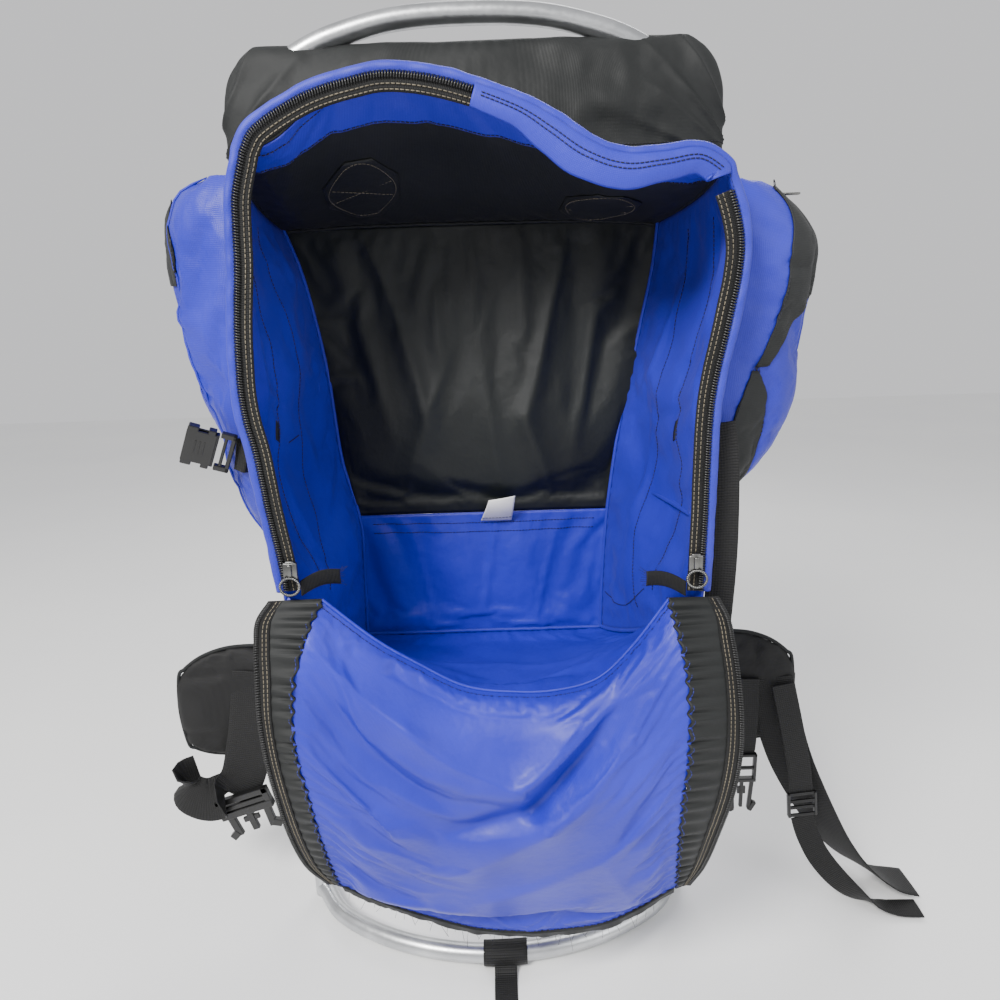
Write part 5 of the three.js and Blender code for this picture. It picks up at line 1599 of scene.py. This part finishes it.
# %% [markdown]
# On the wearer's side, webbing runs from each shoulder pad down to the foot of its rail, and a
# short anchor joins the pad to the sleeve.

# %% Webbing on the wearer's side
for side, word in ((-1, "left"), (1, "right")):
    strap(
        f"lower_webbing_{word}",
        [
            (side * 128, 57, 488), (side * 130.4, 56, 476), (side * 142, 48, 400),
            (side * 152, 42, 320), (side * 162, 34, 200), (side * (RAIL_X - 10), TUBE_R + 8, 130),
            (side * (RAIL_X - 6), TUBE_R + 0.6, 96),
        ],
        WEB_NARROW, lambda t: -X, nodes=[f"shoulder_webbing_{word}"],
    )
    back = SLEEVE.at(805, "d") + 0.6
    anchor = strap(
        f"anchor_webbing_{word}",
        [
            (side * 63, 41, 764), (side * 61.6, back + 9, 772.6),
            (side * 60, back + 1, 794), (side * 60, back, 815),
        ],
        WEB_NARROW, lambda t: X, count=30, nodes=[f"shoulder_anchor_{word}"],
    )
    box_stitch(f"anchor_stitches_{word}", anchor, 0.55, 0.95, Y * 2.2)

# %% Webbing round the shelf hoop
HOOP_Z = TUBE_R + FOOT_Z + SHELF_LIFT
LOOP_X = 7


def shelf_loop(u, v):
    a = mix(1.15, 1.15 + math.pi * 1.9, v)
    r = TUBE_R + 1.3 + 0.3 * math.sin(u * math.pi)
    x = LOOP_X + mix(-1, 1, u) * WEB_WIDE * 0.45
    sweep = 1 - 0.05 * (x / (SHELF[5][0] * RAIL_X)) ** 2
    return Vector((x, -SHELF_Y * sweep + r * math.cos(a), HOOP_Z + r * math.sin(a)))


loop_piece = panel("hoop_webbing", shelf_loop, 12, 64, (45, 64))
thicken(loop_piece, WEB_T * 0.75, growing(shelf_loop, -Y))
dress(loop_piece, WEBBING, ["shelf_webbing"])
strap(
    "hoop_tail",
    [
        (LOOP_X, -SHELF_Y - TUBE_R - 2.7, 9), (LOOP_X, -SHELF_Y - TUBE_R - 9, 3.4),
        (LOOP_X, -SHELF_Y - TUBE_R - 30, 1.4), (LOOP_X + 0.5, -SHELF_Y - TUBE_R - 60, 1.2),
        (LOOP_X + 1, -SHELF_Y - TUBE_R - 90, 1.2),
    ],
    WEB_NARROW * 0.92, lambda t: X, thickness=1.2, curl=0.15, nodes=["shelf_strap"],
)

# %% [markdown]
# ## Buckles
# A side-release buckle is a flat moulded frame with a bar for the webbing, two prongs with hooked
# ends and a guide between them. It is built lying flat, from softened boxes, and is then carried to
# the end of its strap by one matrix.

# %% Buckles
def carry(bm, end, along_way, facing, height):
    """Moves a flat buckle to a strap's end: its Y runs along the strap, its Z faces outwards."""
    y = Vector(along_way).normalized()
    x = y.cross(Vector(facing)).normalized()
    z = x.cross(y).normalized()
    place = Matrix((x, y, z)).transposed().to_4x4()
    place.translation = (Vector(end) + y * (height / 2 + GAP)) * MM
    bmesh.ops.transform(bm, matrix=place, verts=bm.verts)


def pronged_buckle(name, width, height, thickness, end, along_way, facing, nodes):
    bm = bmesh.new()
    base = height * 0.46
    rail = width * 0.11
    add_box(bm, (0, -height / 2 + rail / 2, 0), (width, rail, thickness * 0.7), soften=0.8)
    add_box(bm, (0, -height / 2 + base - rail / 2, 0), (width, rail * 1.3, thickness * 0.8), soften=0.9)
    add_box(bm, (0, -height / 2 + base * 0.52, 0.6), (width * 0.8, rail * 0.9, thickness * 0.45), soften=0.7)
    for side in (-1, 1):
        edge_x = side * (width - rail) / 2
        add_box(bm, (edge_x, -height / 2 + base / 2, 0), (rail, base, thickness * 0.7), soften=0.8)
        prong_x = side * width * 0.34
        prong = (prong_x, height * 0.18, 0)
        lean = Matrix.Rotation(side * 0.06, 3, "Z")
        add_box(bm, prong, (width * 0.13, height * 0.52, thickness * 0.5), lean, 0.7)
        hook = (prong_x + side * width * 0.07, height * 0.40, 0)
        barb = Matrix.Rotation(side * 0.5, 3, "Z")
        add_box(bm, hook, (width * 0.17, height * 0.16, thickness * 0.62), barb, 0.8)
    add_box(bm, (0, height * 0.16, 0), (width * 0.12, height * 0.50, thickness * 0.45), soften=0.6)
    add_box(bm, (0, height * 0.12, 0), (width * 0.30, height * 0.12, thickness * 0.3), soften=0.5)
    carry(bm, end, along_way, facing, height)
    return dress(to_object(name, bm, smooth=False), PLASTIC, nodes)


def socket_buckle(name, width, height, thickness, end, along_way, facing, nodes):
    bm = bmesh.new()
    wall_t = thickness * 0.26
    body = height * 0.62
    top = height / 2 - body / 2
    for side in (-1, 1):
        add_box(bm, (0, top, side * (thickness - wall_t) / 2), (width * 0.82, body, wall_t), soften=0.7)
        for up, tall, thick in ((0.38, 0.22, 1.0), (0.0, 0.16, 1.0), (-0.34, 0.32, 0.7)):
            place = (side * width * 0.43, height * up, 0)
            add_box(bm, place, (width * 0.14, height * tall, thickness * thick), soften=0.8)
    add_box(bm, (0, height / 2 - body, 0), (width * 0.84, height * 0.07, thickness * 0.9), soften=0.7)
    add_box(bm, (0, -height / 2 + height * 0.045, 0), (width, height * 0.09, thickness * 0.7), soften=0.8)
    add_box(bm, (0, -height * 0.30, 0), (width * 0.8, height * 0.07, thickness * 0.5), soften=0.7)
    for k in range(3):
        place = (0, top + (k - 1) * height * 0.09, thickness / 2)
        add_box(bm, place, (width * 0.34, height * 0.03, thickness * 0.08), soften=0.2)
    carry(bm, end, along_way, facing, height)
    return dress(to_object(name, bm, smooth=False), PLASTIC, nodes)


pronged_buckle(
    "hip_buckle_left", 62, 52, 11, (-284, PAD_FRONT - 19, 146.6), (0.32, 0, -1), (0, -1, 0),
    ["belt_buckle_left"],
)
socket_buckle(
    "compression_buckle", 32, 36, 8, over_pocket[3] + BUCKLE_FACING * 2.2, BUCKLE_ALONG, BUCKLE_FACING,
    ["compression_buckle_left"],
)
pronged_buckle(
    "hip_buckle_right", 30, 74, 9, (276, PAD_FRONT - 18, 177), (0, 0, -1), (0, -1, 0), ["belt_buckle_right"],
)


# %% Ladder lock
def ladder(name, width, height, thickness, end, along_way, facing, nodes):
    bm = bmesh.new()
    for side in (-1, 1):
        add_box(bm, (side * (width - 3) / 2, 0, 0), (3, height, thickness), soften=0.9)
    for share, lift in ((-0.44, 0), (-0.16, 1.0), (0.14, -0.6), (0.44, 0.4)):
        turn = Matrix.Rotation(0.3, 3, "X")
        add_box(bm, (0, share * height, lift), (width - 1, 3.2, thickness * 0.6), turn, 0.7)
    carry(bm, end, along_way, facing, height)
    return dress(to_object(name, bm, smooth=False), PLASTIC, nodes)


ladder("ladder_lock_right", 32, 30, 6, (338, PAD_FRONT - 32, 135.6), (3, 0, -32), (0, -1, 0), ["ladder_lock"])

# %% [markdown]
# ## Padded pieces
# Hip pads, shoulder pads and the belt's back are foam in a nylon cover. Each starts a little too
# small, is remeshed into even voxels, and a cloth simulation with pressure fills it out. A seam is
# pressed in afterwards, with a binding along it.

# %% Filling a pad
def lofted(name, rings):
    """A closed solid through rings of points: each pair of rings is bridged, the ends are filled."""
    bm = bmesh.new()
    loops = []
    for ring in rings:
        verts = [bm.verts.new(p * MM) for p in ring]
        edges = [bm.edges.new((verts[k], verts[(k + 1) % len(verts)])) for k in range(len(verts))]
        loops.append(edges)
    for first, second in zip(loops, loops[1:]):
        bmesh.ops.bridge_loops(bm, edges=first + second)
    bmesh.ops.holes_fill(bm, edges=loops[0], sides=0)
    bmesh.ops.holes_fill(bm, edges=loops[-1], sides=0)
    bmesh.ops.recalc_face_normals(bm, faces=bm.faces)
    return to_object(name, bm)


def plump(piece, voxel=4.5, pressure=4.0, frames=12, cap=4.0):
    """Remeshes a pad and lets pressure round it, with the move capped."""
    remesh = piece.modifiers.new("even mesh", "REMESH")
    remesh.mode = "VOXEL"
    remesh.voxel_size = voxel * MM
    remesh.use_smooth_shade = True
    ready = piece.evaluated_get(bpy.context.evaluated_depsgraph_get())
    mesh = bpy.data.meshes.new_from_object(ready)
    piece.modifiers.remove(remesh)
    piece.data = mesh
    cloth = piece.modifiers.new("cloth", "CLOTH")
    cloth.settings.use_pressure = True
    cloth.settings.uniform_pressure_force = pressure
    cloth.settings.effector_weights.gravity = 0
    cloth.settings.mass = 0.3
    cloth.settings.tension_stiffness = 30
    cloth.settings.quality = 4
    cloth.collision_settings.use_collision = False
    for step in range(1, frames + 1):
        bpy.context.scene.frame_set(step)
    settled = piece.evaluated_get(bpy.context.evaluated_depsgraph_get())
    for vert, other in zip(mesh.vertices, [v.co.copy() for v in settled.data.vertices]):
        move = other - vert.co
        if move.length > cap * MM:
            move *= cap * MM / move.length
        vert.co += move
    piece.modifiers.remove(cloth)
    bpy.context.scene.frame_set(1)
    print(piece.name, "filled:", len(mesh.vertices), "points")
    return piece


def channels(piece, axis, places, depth, width):
    """Presses sewn lines into a pad, across the given axis, towards its middle plane in Y."""
    middle = sum((v.co.y for v in piece.data.vertices), 0.0) / len(piece.data.vertices)
    for vert in piece.data.vertices:
        for place in places:
            away = (vert.co[axis] / MM - place) / width
            press = depth * math.exp(-away * away) * MM
            vert.co.y += -press if vert.co.y > middle else press
    return piece


def super_ring(centre, across, through, w, t, power, sides):
    ring = []
    for k in range(sides):
        a = math.tau * k / sides
        c, s = math.cos(a), math.sin(a)
        flat = across * math.copysign(abs(c) ** power, c) * w
        deep = through * math.copysign(abs(s) ** power, s) * t
        ring.append(centre + flat + deep)
    return ring


# %% Hip pads
HIP_STATIONS = Table("t w d y", [
    (0, 36, 0.3, 2 + PAD_T * 0.15), (0.04, 46, 0.6, 1.5 + PAD_T * 0.33),
    (0.15, 55, 0.95, 8), (0.35, 65, 1, 4),
    (0.6, 69, 1, -1), (0.78, 64, 1, -6),
    (0.9, 54, 0.88, -11), (0.97, 42, 0.6, -14),
    (1, 30, 0.25, -15),
])
HIP_REACH = {-1: 346, 1: 334}
HIP_Z, HIP_DROP = 250, 8


def hip_centre(side, t):
    x = side * mix(RAIL_X - 12, HIP_REACH[side], t)
    return Vector((x, BELT_SEAT + HIP_STATIONS.at(t, "y"), HIP_Z - HIP_DROP * t))


for side, word in ((-1, "left"), (1, "right")):
    rings = []
    for k in range(25):
        t = k / 24
        wide = HIP_STATIONS.at(t, "w") - 3
        deep = PAD_T / 2 * HIP_STATIONS.at(t, "d") - 1.5
        rings.append(super_ring(hip_centre(side, t), Z, Y, wide, deep, 0.7, 40))
    hip = plump(lofted(f"hip_cushion_{word}", rings), cap=3.0)
    channels(hip, 2, (215, 283), 2.2, 5)
    dress(hip, BLACK_PADDED, [f"hip_pad_{word}"])
    binding = []
    for k in range(1, 24):
        t = k / 24
        binding.append(hip_centre(side, t) + Z * (HIP_STATIONS.at(t, "w") - 3.6))
    end = Vector((side * (HIP_REACH[side] - 3), BELT_SEAT - 15, 242))
    lower = [p - Z * 2 * (HIP_STATIONS.at((k + 1) / 24, "w") - 3.6) for k, p in enumerate(binding)]
    path = along(binding + [end] + lower[::-1], 200)
    dress(tube(f"hip_binding_{word}", [(path, 2.0)], 12), BLACK_NYLON)

# %% Shoulder pads
STRAP_PAD_T, STRAP_PAD_W = 12, 62
for side, word in ((-1, "left"), (1, "right")):
    route = along([
        (side * 62, 38, 770), (side * 70, 62, 745), (side * 82, 76, 690), (side * 96, 78, 620),
        (side * 112, 70, 550), (side * 130, 56, 480),
    ], 40)
    rings, edges = [], [[], []]
    for i, p in enumerate(route):
        t = i / (len(route) - 1)
        line = (route[min(i + 1, len(route) - 1)] - route[max(i - 1, 0)]).normalized()
        across = (X - line * line.x).normalized()
        through = line.cross(across).normalized()
        taper = min(1.0, 0.45 + 6 * min(t, 1 - t))
        wide, deep = (STRAP_PAD_W / 2 - 1) * taper, (STRAP_PAD_T / 2 - 1) * taper
        rings.append(super_ring(p, across, through, wide, deep, 0.6, 36))
        edges[0].append(p + across * STRAP_PAD_W / 2 * taper)
        edges[1].append(p - across * STRAP_PAD_W / 2 * taper)
    shoulder = plump(lofted(f"shoulder_cushion_{word}", rings), voxel=4.0, cap=2.5)
    dress(shoulder, BLACK_PADDED, [f"shoulder_pad_{word}"])
    dress(tube(f"shoulder_binding_{word}", [(edge, 1.7) for edge in edges], 12), BLACK_NYLON)


# %% Back of the belt
BELT_LOW, BELT_TOP = 200, 300
rings = []
for k in range(41):
    t = k / 40
    y = TUBE_R + GAP + 10 * math.sin(math.pi * t) ** 0.7 + BELT_T / 2
    centre = Vector((mix(-RAIL_X + 1, RAIL_X - 1, t), y, (BELT_LOW + BELT_TOP) / 2))
    rings.append(super_ring(centre, Z, Y, (BELT_TOP - BELT_LOW) / 2 - 7, BELT_T / 2 - 0.6, 0.35, 40))
belt = plump(lofted("belt_cushion", rings), voxel=4.0, cap=1.5)
dress(belt, BLACK_PADDED, ["belt_back"])

# %% [markdown]
# ## Light and floor
# The object stands on a plain pale floor. A broad soft light from the upper left is the window of
# the room, a weaker one fills from the right, and the world gives a pale, even surround.

# %% Floor
bm = bmesh.new()
bmesh.ops.create_grid(bm, x_segments=2, y_segments=2, size=4.0)
floor = to_object("floor", bm)
material, tree, shader = new_material("pale floor")
tone = speckle(tree, node(tree, "ShaderNodeTexCoord").outputs["Object"], 2.0)
pale = shade(tree, tone, [(0.3, (0.84, 0.84, 0.84)), (0.7, (0.88, 0.88, 0.87))])
tree.links.new(pale, shader.inputs["Base Color"])
shader.inputs["Roughness"].default_value = 0.35
floor.data.materials.append(material)
floor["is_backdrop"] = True


# %% Lights
def soft_light(name, place, aim, size, power, colour=(1, 1, 1)):
    data = bpy.data.lights.new(name, "AREA")
    data.shape = "DISK"
    data.size = size
    data.energy = power
    data.color = colour
    light = bpy.data.objects.new(name, data)
    bpy.context.scene.collection.objects.link(light)
    way = Vector(aim) - Vector(place)
    light.matrix_world = Matrix.Translation(place) @ way.to_track_quat("-Z", "Y").to_matrix().to_4x4()
    return light


soft_light("window", (-0.9, -1.5, 1.9), (0, -0.1, 0.45), 0.8, 85, (1.0, 0.99, 0.97))
soft_light("fill", (1.5, -1.2, 1.2), (0, -0.1, 0.4), 1.4, 14, (0.96, 0.98, 1.0))
soft_light("back", (0.3, 1.5, 1.6), (0, 0, 0.6), 1.2, 16)
world = bpy.data.worlds.new("pale room")
bpy.context.scene.world = world
world.use_nodes = True
world.node_tree.nodes["Background"].inputs["Color"].default_value = (0.93, 0.93, 0.95, 1)
world.node_tree.nodes["Background"].inputs["Strength"].default_value = 0.85

# %% [markdown]
# Last, the model's box is set beside the box of the solids, because dressing the pack must not
# change its size.

# %% Sizes
visual_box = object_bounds()
for axis, letter in enumerate("xyz"):
    cad_side = (cad_box[1][axis] - cad_box[0][axis]) / MM
    new_side = (visual_box[1][axis] - visual_box[0][axis]) / MM
    print(letter, "side:", round(cad_side, 1), "mm of solids,", round(new_side, 1), "mm dressed")
